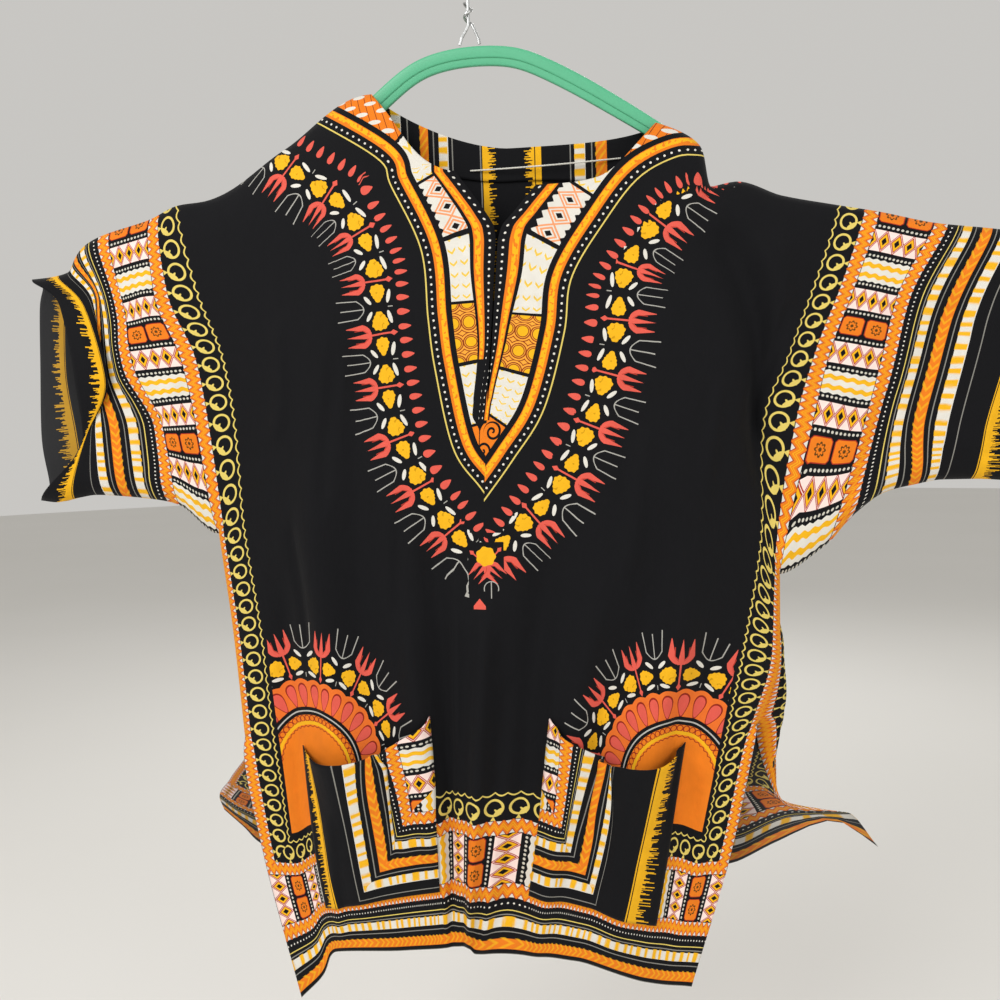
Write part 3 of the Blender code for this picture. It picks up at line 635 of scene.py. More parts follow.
# Small creases between the folds, in the same columns.
CREASE_DEPTH = 1.2
FRONT_CREASES = [
    (-128, 120, -96, 300, 9, 2.6), (-182, 170, -196, 330, 10, -2.4), (-240, 120, -262, 240, 11, 3.0),
    (-96, 330, -128, 520, 8, -2.2), (-246, 300, -240, 470, 9, -3.0), (-300, 400, -318, 560, 8, 2.4),
    (-34, 440, -40, 590, 7, 2.4), (-150, 560, -160, 690, 9, -2.8), (-228, 600, -250, 765, 8, 3.2),
    (-84, 610, -76, 775, 7, 2.6), (36, 500, 30, 640, 8, -2.4), (34, 650, 44, 775, 7, 2.8),
    (94, 200, 120, 350, 10, 2.6), (150, 250, 138, 420, 9, 2.4), (206, 160, 226, 300, 9, 2.6),
    (282, 90, 300, 230, 10, -3.0), (90, 470, 98, 640, 8, 2.4), (148, 480, 152, 660, 9, -2.6),
    (200, 560, 196, 720, 8, 2.8), (246, 450, 252, 640, 8, -3.0), (300, 520, 312, 700, 9, 2.8),
    (-360, 60, -352, 180, 10, 2.6), (-410, 150, -404, 262, 9, -2.6), (372, 60, 366, 190, 11, 2.8),
    (404, 150, 396, 270, 9, -3.0), (456, 90, 452, 230, 8, 2.6), (500, 110, 498, 250, 8, -2.4),
]
BACK_CREASES = [
    (-300, 90, -290, 250, 10, 2.6), (-196, 130, -190, 330, 11, 3.0), (-104, 120, -108, 300, 10, -2.6),
    (-10, 110, -14, 280, 10, 2.8), (86, 120, 90, 310, 10, 3.0), (184, 140, 186, 330, 10, 2.8),
    (284, 110, 276, 260, 10, -2.8), (-290, 330, -296, 520, 10, 2.8), (-200, 400, -206, 610, 9, 3.0),
    (-104, 420, -100, 640, 10, -2.8), (-10, 430, -6, 650, 9, 3.0), (88, 400, 86, 620, 10, -2.6),
    (190, 420, 196, 600, 9, 2.8), (284, 360, 292, 520, 10, -3.0), (-120, 640, -124, 768, 8, 3.0),
    (20, 650, 24, 768, 8, -2.8), (150, 640, 150, 768, 8, 3.0), (-470, 60, -466, 220, 9, 2.8),
    (470, 60, 466, 220, 9, 2.8), (-390, 130, -384, 268, 9, -2.6), (390, 130, 384, 268, 9, -2.6),
]
# The left sleeve's end is folded over itself, so its cloth comes forward from fold to fold.
PLEAT_START, PLEAT_END, PLEAT_OUT = -440.0, -500.0, 12.0
PLEAT_TOP, PLEAT_MIDDLE, PLEAT_BOTTOM = 60.0, 130.0, 205.0


def smooth(at, xs, ys):
    """A curve through levels that doesn't overshoot them. Ys holds a number a level, or a row of them."""
    xs, ys = np.array(xs, float), np.array(ys, float)
    ys = ys[:, None] if ys.ndim == 1 else ys
    at = np.clip(at, xs[0], xs[-1])
    i = np.clip(np.searchsorted(xs, at, side="right") - 1, 0, len(xs) - 2)
    slope = np.diff(ys, axis=0) / np.diff(xs)[:, None]
    product, total = slope[:-1] * slope[1:], slope[:-1] + slope[1:]
    inner = np.where(product > 0, 2 * product / np.where(total == 0, 1, total), 0)
    tangent = np.vstack([slope[:1], inner, slope[-1:]])
    every = np.arange(len(at)) if ys.shape[1] > 1 else 0
    width = xs[i + 1] - xs[i]
    t = (at - xs[i]) / width
    return (
        ys[i, every] * (1 + 2 * t) * (1 - t) ** 2 + tangent[i, every] * width * t * (1 - t) ** 2
        + ys[i + 1, every] * t * t * (3 - 2 * t) + tangent[i + 1, every] * width * t * t * (t - 1)
    )


def column(rows, k):
    return [row[k] for row in rows]


def ease(t):
    t = np.clip(t, 0, 1)
    return t * t * (3 - 2 * t)


def to_segment(u, v, start, end):
    du, dv = end[0] - start[0], end[1] - start[1]
    t = np.clip(((u - start[0]) * du + (v - start[1]) * dv) / (du * du + dv * dv), 0, 1)
    return start[0] + t * du, start[1] + t * dv


def section_point(table, u, v):
    """(x, z) of places on the flat cut, read from the sections."""
    out = np.zeros((2, len(u)))
    for here, levels in ((abs(u) <= SIDE, list(table)), (abs(u) > SIDE, [k for k in table if k <= UNDERARM])):
        for k in (1, 2) if here.any() else ():
            rows = [smooth(u[here], column(table[q], 0), column(table[q], k)) for q in levels]
            out[k - 1, here] = smooth(v[here], levels, rows)
    return out


def fold_height(folds, u, v):
    height = np.zeros(len(u))
    for u1, v1, u2, v2, half_width, out in folds:
        near_u, near_v = to_segment(u, v, (u1, v1), (u2, v2))
        away = np.hypot(u - near_u, v - near_v) / half_width
        along = np.hypot(near_u - u1, near_v - v1) / math.hypot(u2 - u1, v2 - v1)
        height += out * np.exp(-away * away) * ease(5 * along) * ease(5 * (1 - along))
    return height


def hang(u, v, back=False, slit_side=0, creases=None):
    """Where points of the flat cut hang, in millimetres."""
    table, way = (BACK, 1) if back else (FRONT, -1)
    half = np.where(u < 0, -1.0, 1.0)
    seams = [
        to_segment(u * half, v, (NECK, 0), (CUFF, 0)),
        to_segment(u * half, v, (CUFF, UNDERARM), (SIDE, UNDERARM)),
        to_segment(u * half, v, (SIDE, UNDERARM), (SIDE, VENT_TOP)),
    ]
    far = np.array([np.hypot(u * half - seam_u, v - seam_v) for seam_u, seam_v in seams])
    nearest = far.argmin(axis=0)
    distance = far.min(axis=0)
    seam_u = np.choose(nearest, [seam[0] for seam in seams]) * half
    seam_v = np.choose(nearest, [seam[1] + 0 * u for seam in seams])
    pull = np.where(distance < TURN, distance, TURN * np.exp((TURN - distance) / 40))
    share = pull / np.maximum(distance, 1e-9)
    x, z = section_point(table, u + (seam_u - u) * share, v + (seam_v - v) * share)
    # Front and back share the side seam's own curve, whatever their other sections are.
    on_side = (abs(abs(seam_u) - SIDE) < 1e-6) & (seam_v >= UNDERARM) & (seam_v <= VENT_TOP)
    share = np.where(on_side, np.exp(-((np.maximum(distance - TURN, 0) / 25) ** 2)), 0)
    short = {q: FRONT[q] for q in (UNDERARM, 390, VENT_TOP)}
    edge_u = np.clip(seam_u, -SIDE, SIDE)
    seam, table_seam = section_point(short, edge_u, seam_v), section_point(table, edge_u, seam_v)
    x, z = x + share * (seam[0] - table_seam[0]), z + share * (seam[1] - table_seam[1])
    middle = smooth(v, column(STANDOFF, 0), column(STANDOFF, 2 if back else 1))
    depth = SLEEVE_STANDOFF + (middle - SLEEVE_STANDOFF) * ease((SIDE - abs(u)) / 180)
    beyond = np.maximum(distance - TURN, 0)
    stand = np.minimum(distance, TURN) + (depth - TURN) * (1 - np.exp(-beyond / (depth - TURN)))
    fade = 1 - np.exp(-((beyond / 25) ** 2))
    stand += fade * fold_height(BACK_FOLDS if back else FRONT_FOLDS, u, v)
    if creases:
        stand += fade * fold_height(creases, u, v) * CREASE_DEPTH
    if not back:
        rise = ease((v - PLEAT_TOP) / (PLEAT_MIDDLE - PLEAT_TOP))
        fall = ease((PLEAT_BOTTOM - v) / (PLEAT_BOTTOM - PLEAT_MIDDLE))
        start = np.clip((PLEAT_START - u) / (PLEAT_START - PLEAT_END), 0, 1)
        stand += PLEAT_OUT * start * rise * fall
    edges = [smooth(v, column(SLIT, 0), column(SLIT, k)) for k in (1, 2)]
    spread = np.where(u + slit_side < 0, *edges) * np.cos(np.pi / 2 * np.minimum(1, abs(u) / SLIT_REACH)) ** 2
    x = x + np.where(v < SLIT_END, slit_side * spread, 0)
    return np.stack([x, way * (SEAM_GAP / 2 + stand), z], axis=1)


def neck_eased(u, v, drop, left=1.6, right=1.6):
    """Grid rows below the neck start at its edge. Left and right are how round it is on each side."""
    top = np.where(abs(u) < NECK, drop * (1 - (abs(u) / NECK) ** np.where(u < 0, left, right)), 0)
    return np.where(v < NECK_EASE, top + v * (1 - top / NECK_EASE), v)


def flat_cloth(step, slit=False):
    """A grid cut to the T of a panel, as a bmesh. X is across the cut and Z is down it."""
    cut = bmesh.new()
    bmesh.ops.create_grid(cut, x_segments=round(2 * CUFF / step), y_segments=round(HEM / step), size=1)
    for vert in cut.verts:
        vert.co = (vert.co.x * CUFF, 0, (1 - vert.co.y) / 2 * HEM)
    middles = [(f, f.calc_center_median()) for f in cut.faces]
    waste = [f for f, spot in middles if abs(spot.x) > SIDE and spot.z > UNDERARM]
    bmesh.ops.delete(cut, geom=waste, context="FACES")
    if slit:
        on_slit = {p for p in cut.verts if abs(p.co.x) < 0.1 and p.co.z < SLIT_END + 0.1}
        bmesh.ops.split_edges(cut, edges=[e for e in cut.edges if on_slit.issuperset(e.verts)])
    return cut


def spline(points, step=2.0):
    """A smooth line through points, as points about a step apart."""
    p = np.array(points, float)
    p = np.vstack([2 * p[0] - p[1], p, 2 * p[-1] - p[-2]])
    out = []
    for a, b, c, d in zip(p, p[1:], p[2:], p[3:]):
        for t in np.arange(0, 1, step / math.dist(b, c)):
            square, cube = 2 * a - 5 * b + 4 * c - d, 3 * b - a - 3 * c + d
            out.append(b + (c - a) * t / 2 + square * t * t / 2 + cube * t**3 / 2)
    return np.array(out + [p[-2]])


def print_line(*points):
    """A line of the print, run straight on at both ends, with the distance along it."""
    line = spline(points)
    line = np.vstack([line[0] * 61 - line[1] * 60, line, line[-1] * 61 - line[-2] * 60])
    along = np.concatenate([[0], np.cumsum(np.hypot(*np.diff(line, axis=0).T))])
    return line, along - along[1]


def beside(line, x, z):
    """Distance along a line of the nearest point on it, and how far it is, positive on its left."""
    points, along = line
    near = np.array([((points - q) ** 2).sum(axis=1).argmin() for q in np.stack([x, z], axis=1)])
    best = None
    for first in (np.clip(near - 1, 0, len(points) - 2), np.clip(near, 0, len(points) - 2)):
        start, way = points[first], points[first + 1] - points[first]
        size = np.hypot(way[:, 0], way[:, 1])
        t = np.clip(((x - start[:, 0]) * way[:, 0] + (z - start[:, 1]) * way[:, 1]) / size**2, 0, 1)
        dx, dz = x - start[:, 0] - t * way[:, 0], z - start[:, 1] - t * way[:, 1]
        off = np.hypot(dx, dz) * np.where(way[:, 0] * dz - way[:, 1] * dx > 0, 1, -1)
        found = np.stack([along[first] + t * size, off])
        best = found if best is None else np.where(abs(found[1]) < abs(best[1]), found, best)
    return best


# Where the print lies on the hanging cloth, across and up: the outermost line of the neck print, from
# each shoulder down to its point, the flowers from shoulder to shoulder, and the feet of the arches.
FRONT_PRINT = {
    "left": print_line(
        (-125, -147), (-75, -181), (-66, -202), (-41, -257), (-36, -314), (-31, -356), (-17, -422), (6, -456)
    ),
    "right": print_line(
        (188, -189), (169, -191), (139, -207), (112, -240), (84, -285), (77, -330), (59, -392), (33, -432),
        (6, -468),
    ),
    "row": print_line(
        (-180, -160), (-141, -191), (-105, -219), (-82, -263), (-74, -333), (-66, -398), (-45, -449),
        (-21, -486), (5, -510), (36, -487), (69, -456), (94, -408), (115, -347), (128, -278), (160, -232),
        (182, -200),
    ),
    "tip": 417.0,  # how far along the row its lowest flower is
    "low": -492.0,  # the drops end here
    "arches": [(-144, -699), (154, -706)],
}
BACK_PRINT = {
    "left": print_line((-125, -147), (-98, -190), (-60, -232), (-15, -262), (30, -272)),
    "right": print_line((188, -189), (160, -222), (120, -250), (75, -268), (30, -272)),
    "row": print_line(
        (-172, -167), (-138, -216), (-92, -264), (-34, -304), (30, -320), (92, -310), (148, -282), (200, -238)
    ),
    "tip": 262.0,
    "low": -298.0,
    "arches": [(-170, -700), (172, -700)],
}
LINE_RIGHT_STARTS = 9.0
DROPS_END = -26.5  # the drops end here, out from the line, and the flowers begin
ARCH_REACH = 139.0
ARCH_NARROW = 0.7  # folds take up this much of an arch's half towards the middle
PLAIN, BORDER, BANDS, ROW, ARCH = range(5)
HEM_STRETCH = 0.91  # the print's own length along the hem's depth, as a share of the cloth's
# What shows of the print's width in the middle of the hem, where the cloth is folded: across, print.
HEM_PRINT = [
    (-345, -345), (-308, -308), (-262, -262), (-92, -52), (0, -3), (92, 50), (262, 262), (308, 308),
    (345, 345),
]


def print_map(mesh, u, v, x, z, layout):
    """Gives each face its part of the print, and its corners their coordinates on it."""
    count = len(mesh.polygons)
    size = np.zeros(count, int)
    mesh.polygons.foreach_get("loop_total", size)
    corners = np.zeros(len(mesh.loops), int)
    mesh.loops.foreach_get("vertex_index", corners)
    face = np.repeat(np.arange(count), size)

    def middle(values):
        return np.bincount(face, values[corners]) / size

    mu, mv, mz = middle(u), middle(v), middle(z)
    squeezed = np.interp(u, column(HEM_PRINT, 0), column(HEM_PRINT, 1))
    lower = ease((v - 560) / 50)
    down = FRAME_FOOT + (v - FRAME_FOOT) * np.where(v > FRAME_FOOT, HEM_STRETCH, 1)
    coordinates = {BORDER: (u * (1 - lower) + squeezed * lower, down), PLAIN: (u, v)}
    part = np.full(count, PLAIN)
    foot_x, foot_z = [np.where(x < 0, *[foot[k] for foot in layout["arches"]]) for k in (0, 1)]
    over = x - foot_x
    over = np.where(over * x < 0, over / ARCH_NARROW, over)
    far, up = middle(np.hypot(over, np.maximum(z - foot_z, 0))), middle(z - foot_z)
    part[(far < np.where(up > 0, ARCH_REACH, 84)) & (mv > 400)] = ARCH
    coordinates[ARCH] = (over, z - foot_z)
    along_row, off_row = beside(layout["row"], x, z)
    coordinates[ROW] = (along_row - layout["tip"], -off_row)
    left, right = beside(layout["left"], x, z), beside(layout["right"], x, z)
    on_left = mu < 0
    w = np.where(on_left, middle(left[1]), -middle(right[1]))
    near = mv < 560
    part[(abs(middle(off_row)) < 46) & near] = ROW
    part[(w > DROPS_END) & (w < 120) & (mz > layout["low"])] = BANDS
    part[(abs(mu) > FRAME - 3) | (mv > FRAME_FOOT - 7)] = BORDER
    mesh.polygons.foreach_set("material_index", part.astype(np.int32))
    pairs = np.zeros((len(corners), 2))
    for kind, (a, b) in coordinates.items():
        here = part[face] == kind
        pairs[here] = np.stack([a, b], axis=1)[corners[here]]
    here, lefts = part[face] == BANDS, on_left[face]
    pairs[here & lefts] = left.T[corners[here & lefts]]
    mine = right.T[corners[here & ~lefts]] * [1, -1] + [LINE_RIGHT_STARTS, 0]
    pairs[here & ~lefts] = mine
    mesh.uv_layers.new(name="print").data.foreach_set("uv", (pairs * MM).ravel())
    flat = np.stack([u, v], axis=1)[corners] * MM
    mesh.uv_layers.new(name="cut").data.foreach_set("uv", flat.ravel())


def shell(name, cut, place, outward, materials, thickness, mapped):
    """Hangs a flat cloth, prints it and gives it its thickness. Its wrong side has the later materials."""
    for vert, spot in zip(cut.verts, place * MM):
        vert.co = spot
    cut.normal_update()
    if outward * sum(f.normal.y for f in cut.faces) < 0:
        bmesh.ops.reverse_faces(cut, faces=cut.faces)
    mesh = bpy.data.meshes.new(name)
    cut.to_mesh(mesh)
    cut.free()
    mapped(mesh)
    mesh.polygons.foreach_set("use_smooth", [True] * len(mesh.polygons))
    piece = show(name, mesh, *materials)
    wall = piece.modifiers.new("thickness", "SOLIDIFY")
    wall.thickness, wall.offset = thickness * MM, 0.0
    wall.material_offset = len(materials) // 2
    wall.material_offset_rim = 0
    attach(piece, "root")
    return piece


cloth_plain, cloth_border = cotton("black_cotton", plain), cotton("border_printed_cotton", frame_print)
cloth_bands = cotton("neck_printed_cotton", neck_bands)
cloth_flowers = cotton("flower_printed_cotton", neck_flowers)
cloth_arch = cotton("arch_printed_cotton", arch_print)
wrong_plain = cotton("black_cotton_wrong_side", plain, faded=True)
wrong_border = cotton("border_cotton_wrong_side", frame_print, faded=True)
RIGHT_SIDE = [cloth_plain, cloth_border, cloth_bands, cloth_flowers, cloth_arch]
WRONG_SIDE = [wrong_plain, wrong_border, wrong_plain, wrong_plain, wrong_plain]
GRID, THICK = 5.0, 0.9
RIGHT_NECK_DROPS = 16.0  # the slit's right edge sags below the left one

cut = flat_cloth(GRID, slit=True)
u = np.array([vert.co.x for vert in cut.verts])
rows = np.array([vert.co.z for vert in cut.verts])
# Each side of the slit has its own points at its middle, so the faces beside them tell the side.
sides = np.array([
    1 if (vert.link_faces[0].calc_center_median() if abs(vert.co.x) < 0.1 and vert.co.z < SLIT_END - 1
          else vert.co).x > 0 else -1
    for vert in cut.verts
])
v = neck_eased(u, rows, FRONT_NECK_DROP + RIGHT_NECK_DROPS * (sides > 0), left=1.4, right=2.3)
place = hang(u, v, slit_side=sides, creases=FRONT_CREASES)
x, y, z = place.T
front = shell(
    "front_panel", cut, place, -1, RIGHT_SIDE + WRONG_SIDE, THICK,
    lambda mesh: print_map(mesh, u, v, x, z, FRONT_PRINT),
)
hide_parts("front")


# Back: one panel from sleeve to sleeve, with a plain shallow neck. It is printed as the front is, with
# a shorter neck print, and its corners swing out behind the front's below the vents.
def back_bands(ink):
    neck_bands(ink, back=True)


# Inside the back's neck: stripes across, which the facing has too. A row is where a colour begins.
FACING_INK = [
    (-100, BLACK), (-72.0, WHITE), (-64.0, BLACK), (-59.0, GREY_LINE), (-58.2, BLACK), (-47.7, ORANGE),
    (-40.6, BLACK),
    (-36.6, GREY_LINE), (-35.8, BLACK), (-31.0, WHITE), (-23.6, BLACK), (-20.2, GREY_LINE), (-19.4, BLACK),
    (4.4, GREY_LINE), (5.0, BLACK), (5.8, YELLOW), (9.8, BLACK), (51.4, YELLOW), (56.6, BLACK),
    (57.6, GREY_LINE),
    (58.2, BLACK), (81.4, GREY_LINE), (82.2, BLACK), (85.6, WHITE), (94.6, BLACK), (100.0, GREY_LINE),
    (100.8, BLACK), (103.4, ORANGE), (112.4, BLACK),
]


def facing_print(ink):
    spot = add_node(ink.tree, "SeparateXYZ", {}, add_node(ink.tree, "TexCoord", {}).outputs["Object"])
    p, z = Field(spot.outputs[0]) * 1000, Field(spot.outputs[2]) * 1000
    ink.top = bands(p + 100, [(place + 100, colour) for place, colour in FACING_INK], 260)
    whites = p.within(-68.0, 4.0) | p.within(-27.3, 3.7) | p.within(90.1, 4.5)
    ikat(ink, z, p, whites, p.within(-44.1, 3.6) | p.within(107.9, 4.5))
    hair = hairs(z, 0.8)
    hair = hair * hair * 8 + 1.5
    ink.lay((p > 9.7) & (p - 9.8 < hair) | (p < 51.5) & (51.4 - p < hair), YELLOW)


cloth_back_bands = cotton("back_neck_printed_cotton", back_bands)
wrong_stripes = cotton("striped_cotton_wrong_side", facing_print)
back_wrong = [wrong_plain, wrong_border, wrong_stripes, wrong_plain, wrong_plain]
cut = flat_cloth(GRID)
u, rows = np.array([(vert.co.x, vert.co.z) for vert in cut.verts]).T
v = neck_eased(u, rows, BACK_NECK_DROP)
place = hang(u, v, back=True, creases=BACK_CREASES)
x, y, z = place.T
back_sides = [cloth_plain, cloth_border, cloth_back_bands, cloth_flowers, cloth_arch]
back = shell(
    "back_panel", cut, place, 1, back_sides + back_wrong, THICK,
    lambda mesh: print_map(mesh, u, v, x, z, BACK_PRINT),
)
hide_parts("back")


# Patch pockets: each is a corner of the border print, sewn flat on three sides. The mouth sags and
# stands open between its two tacked corners.
POCKET_INNER, POCKET_OUTER, POCKET_BOTTOM = 90.0, 262.0, 715.0
MOUTH_INNER, MOUTH_OUTER, MOUTH_SAG, MOUTH_OPEN = 541.0, 525.0, 32.0, 18.0
POCKET_STAND = 2.0
POCKET_FOOT = 555.0  # the border's foot, as the pocket is cut from it
# What shows of the print across each pocket, where folds hide the rest: across, print.
POCKET_PRINTS = {
    -1: [(90, 57), (135, 85), (145, 95), (158, 109), (173, 126), (201, 142), (211, 155), (243, 177),
         (256, 195), (262, 202)],
    1: [(90, 60), (115, 85), (121, 95), (128, 109), (157, 126), (176, 142), (186, 155), (224, 177),
        (262, 205)],
}


def off_panel(u, v, stand, back=False):
    """Points of a panel, moved out along its normal."""
    creases = BACK_CREASES if back else FRONT_CREASES
    here, right, below = [hang(u + du, v + dv, back, creases=creases) for du, dv in ((0, 0), (1, 0), (0, 1))]
    normal = np.cross(right - here, below - here)
    normal *= (np.where(normal[:, 1] > 0, -1, 1) / np.linalg.norm(normal, axis=1))[:, None]
    return here + normal * np.reshape(stand, (-1, 1))


def patch_grid(across, down):
    """A grid with both of its coordinates from 0 to 1, down in Z."""
    cut = bmesh.new()
    bmesh.ops.create_grid(cut, x_segments=across, y_segments=down, size=0.5)
    for vert in cut.verts:
        vert.co = (vert.co.x + 0.5, 0, 0.5 - vert.co.y)
    return cut, *np.array([(vert.co.x, vert.co.z) for vert in cut.verts]).T


def print_uv(mesh, p, q, u, v):
    corners = np.zeros(len(mesh.loops), int)
    mesh.loops.foreach_get("vertex_index", corners)
    for name, pair in (("print", (p, q)), ("cut", (u, v))):
        values = np.stack(pair, axis=1)[corners] * MM
        mesh.uv_layers.new(name=name).data.foreach_set("uv", values.ravel())


def pocket_print(ink):
    frame_print(ink, POCKET_FOOT)


cloth_pocket = cotton("pocket_printed_cotton", pocket_print)
for side, name in ((-1, "left"), (1, "right")):
    cut, across_pocket, down = patch_grid(44, 44)
    u = side * (POCKET_INNER + (POCKET_OUTER - POCKET_INNER) * across_pocket)
    sag = np.sin(np.pi * across_pocket)
    top = MOUTH_INNER + (MOUTH_OUTER - MOUTH_INNER) * across_pocket + MOUTH_SAG * np.maximum(sag, 0) ** 0.8
    v = top + (POCKET_BOTTOM - top) * down
    open_share = np.maximum(0, 1 - (v - top) / 110) ** 1.5
    place = off_panel(u, v, POCKET_STAND + MOUTH_OPEN * sag * open_share)
    p = FRAME + np.interp(abs(u), column(POCKET_PRINTS[side], 0), column(POCKET_PRINTS[side], 1))
    pocket = shell(
        "pocket_panel_" + name, cut, place, -1, [cloth_pocket, wrong_plain], THICK,
        lambda mesh: print_uv(mesh, p, v, u, v),
    )
    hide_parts("pocket_" + name)


# Facing: a strip of the same print along the inside of the back neck, right side to the front.
FACING_HALF, FACING_DEPTH, FACING_STAND = 90.0, 45.0, 2.1
cloth_facing = cotton("facing_printed_cotton", facing_print)
cut, across_neck, down = patch_grid(40, 14)
u = FACING_HALF * (2 * across_neck - 1)
v = neck_eased(u, down * FACING_DEPTH, BACK_NECK_DROP)
place = off_panel(u, v, FACING_STAND, back=True)
facing = shell(
    "neck_facing_strip", cut, place, -1, [cloth_facing, wrong_plain], THICK,
    lambda mesh: print_uv(mesh, place[:, 0], v, u, v),
)
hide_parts("neck_facing")


# Hanging string: two plies of white cotton twisted together, tacked inside the neck at both ends.
STRING_LEFT, STRING_RIGHT, STRING_SAG, STRING_BOW = (-4, 14.0, -184), (125, 13.1, -181), 2.0, 5.0
PLY, PLY_OFF, PLY_PITCH = 0.42, 0.36, 2.6
t = np.linspace(0, 1, 13)
route = np.outer(1 - t, STRING_LEFT) + np.outer(t, STRING_RIGHT)
route[:, 1] -= STRING_BOW * np.sin(np.pi * t)
route[:, 2] -= STRING_SAG * np.sin(np.pi * t)
string_line = spline(route, 0.3)
plies = bmesh.new()
for phase in (0, math.pi):
    ring = bmesh.ops.create_circle(plies, cap_ends=False, segments=7, radius=PLY)["verts"]
    spots = [vert.co.copy() for vert in ring]
    edges = list(dict.fromkeys(edge for vert in ring for edge in vert.link_edges))
    for k, (sx, sy, sz) in enumerate(string_line):
        angle = phase + 2 * math.pi * (sx - string_line[0][0]) / PLY_PITCH
        middle = Vector((sx, sy + PLY_OFF * math.cos(angle), sz + PLY_OFF * math.sin(angle)))
        if k:
            grown = bmesh.ops.extrude_edge_only(plies, edges=edges)["geom"]
            fresh = [g for g in grown if isinstance(g, bmesh.types.BMVert)]
            ring = [min(fresh, key=lambda g: (g.co - vert.co).length) for vert in ring]
            edges = [g for g in grown if isinstance(g, bmesh.types.BMEdge)]
        for vert, spot in zip(ring, spots):
            vert.co = middle + Vector((0, spot.x, spot.y))
        if k == 0:
            bmesh.ops.contextual_create(plies, geom=ring)
    bmesh.ops.contextual_create(plies, geom=ring)
bmesh.ops.recalc_face_normals(plies, faces=plies.faces)
bmesh.ops.scale(plies, vec=(MM, MM, MM), verts=plies.verts)
string_mesh = bpy.data.meshes.new("hanging_string")
plies.to_mesh(string_mesh)
string_cotton, tree, shader = finish_of("white_cotton_string", 0.75)
fuzz = add_node(tree, "TexNoise", {}, add_node(tree, "TexCoord", {}).outputs["Object"], 2500.0, 2.0)
tone = add_node(tree, "Mix", {"data_type": "RGBA"}, fuzz.outputs[0], linear("#d9d5ca"), linear("#f3f1ea"))
tree.links.new(tone.outputs[2], shader.inputs["Base Color"])
string = show("hanging_string", string_mesh, string_cotton)
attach(string, "root")
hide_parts("neck_loop")


# Hanger: a bow of mint polypropylene, moulded with a thick upper rail over a thinner lower web. The
# mould left it matt, with a fine grain. Its green varies a little in soft clouds.
# The line of its upper edge, and its depth there.
BOW = [(-229, -211, 11), (-200, -193, 13), (-163, -170, 15), (-100, -133, 16), (-68, -108, 16),
       (-44, -93, 16), (-8, -86, 16), (30, -87, 16), (50, -92, 16), (90, -113, 16), (135, -142, 15),
       (172, -168, 13), (183, -176, 11)]
BOW_SECTIONS, BOW_SMOOTHED = 170, 40
# The bow's section: how far below its upper edge, as a share of its depth, and how far to one side.
BOW_SECTION = [
    (0.0, 1.3), (0.02, 2.2), (0.06, 2.9), (0.12, 3.3), (0.2, 3.4), (0.56, 3.4), (0.6, 3.2), (0.63, 2.8),
    (0.64, 2.2), (0.92, 2.1), (0.97, 1.8), (1.0, 1.2),
]
rail = spline(BOW, 2.0)
along = np.concatenate([[0], np.cumsum(np.hypot(*np.diff(rail[:, :2], axis=0).T))])
even = np.linspace(0, along[-1], BOW_SECTIONS)
rail = np.stack([np.interp(even, along, line) for line in rail.T], axis=1)
for _ in range(BOW_SMOOTHED):
    rail[1:-1] = (rail[:-2] + 2 * rail[1:-1] + rail[2:]) / 4
way = np.gradient(rail[:, :2], axis=0)
way /= np.linalg.norm(way, axis=1)[:, None]
bow = bmesh.new()
section = BOW_SECTION + [(below, -side) for below, side in BOW_SECTION[::-1]]
ring = [bow.verts.new((0, 0, 0)) for _ in section]
end = bow.faces.new(ring)
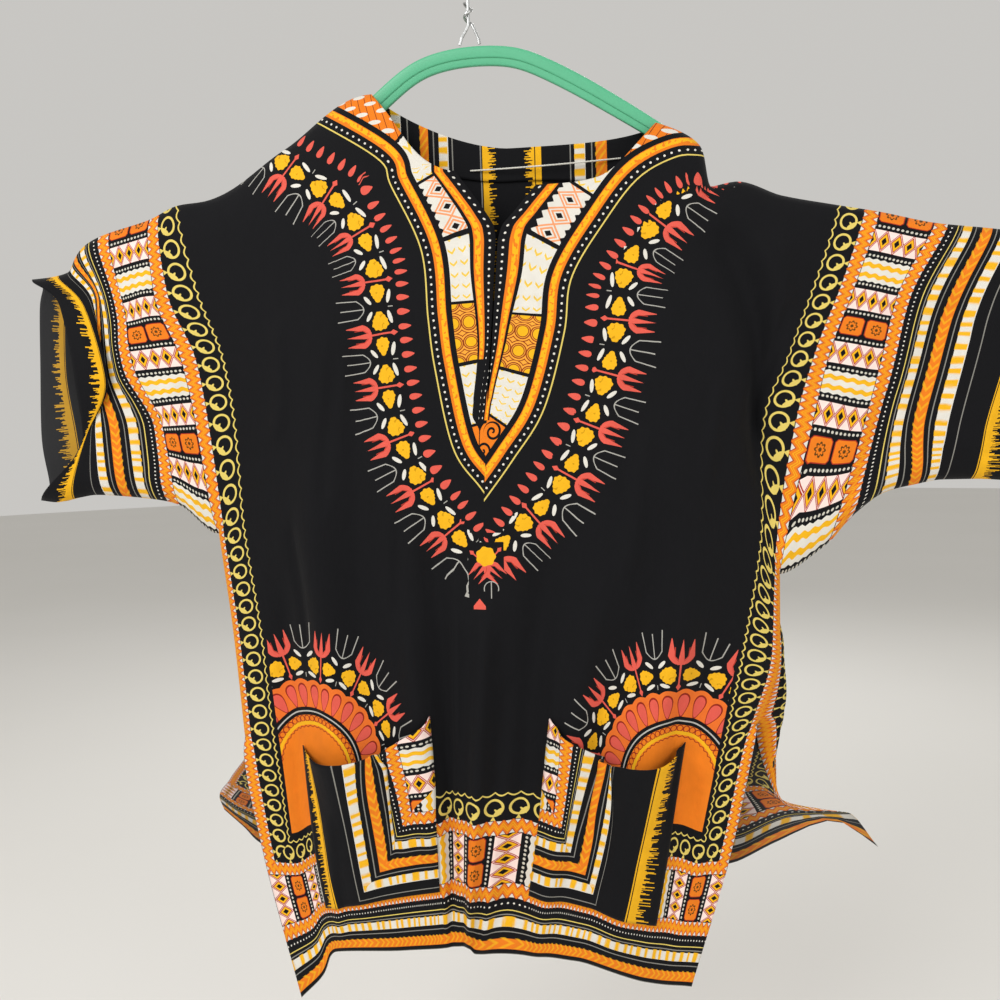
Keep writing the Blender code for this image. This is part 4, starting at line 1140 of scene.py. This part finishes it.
for k, ((bx, bz, depth), (dx, dz)) in enumerate(zip(rail, way)):
    if k:
        grown = bmesh.ops.extrude_face_region(bow, geom=[end])["geom"]
        end = next(g for g in grown if isinstance(g, bmesh.types.BMFace))
        ring = [min(end.verts, key=lambda g: (g.co - vert.co).length) for vert in ring]
    for vert, (below, side) in zip(ring, section):
        vert.co = Vector((bx + dz * below * depth, side, bz - dx * below * depth)) * MM
bmesh.ops.recalc_face_normals(bow, faces=bow.faces)
bow_mesh = bpy.data.meshes.new("hanger_bow")
bow.to_mesh(bow_mesh)
bow_mesh.polygons.foreach_set("use_smooth", [True] * len(bow_mesh.polygons))
bow_mesh.set_sharp_from_angle(angle=math.radians(40))
mint, tree, shader = finish_of("mint_polypropylene", 0.42)
spot = add_node(tree, "TexCoord", {}).outputs["Object"]
grain = add_node(tree, "TexNoise", {}, spot, 1400.0, 2.0)
cloudy = add_node(tree, "TexNoise", {}, spot, 25.0, 2.0)
tone = add_node(tree, "Mix", {"data_type": "RGBA"}, cloudy.outputs[0], linear("#50ab80"), linear("#58b287"))
tree.links.new(tone.outputs[2], shader.inputs["Base Color"])
bump = add_node(tree, "Bump", {}, 0.25)
bump.inputs["Distance"].default_value = 0.1 * MM
tree.links.new(grain.outputs[0], bump.inputs["Height"])
tree.links.new(bump.outputs[0], shader.inputs["Normal"])
bow_piece = show("hanger_bow", bow_mesh, mint)
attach(bow_piece, "root")
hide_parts("hanger")


# Wire hook: galvanised steel wire, drawn and bent, so bright with long faint scratches. Its two legs
# twist round each other over the bow. The solids have its shape already.
steel, tree, shader = finish_of("galvanised_steel_wire", 0.32)
shader.inputs["Metallic"].default_value = 1.0
spot = add_node(tree, "TexCoord", {}).outputs["Object"]
drawn_out = add_node(tree, "Mapping", {}, spot, None, None, (900, 900, 120))
streaks = add_node(tree, "TexNoise", {}, drawn_out.outputs[0], 1.0, 3.0)
tone = add_node(tree, "Mix", {"data_type": "RGBA"}, streaks.outputs[0], linear("#8f9192"), linear("#d5d6d4"))
tree.links.new(tone.outputs[2], shader.inputs["Base Color"])
worn = add_node(tree, "MapRange", {}, streaks.outputs[0], 0.3, 0.7, 0.22, 0.42)
tree.links.new(worn.outputs[0], shader.inputs["Roughness"])
for name in ("hanger_hook", "hanger_leg"):
    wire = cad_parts[name]
    wire.data.materials.clear()
    wire.data.materials.append(steel)
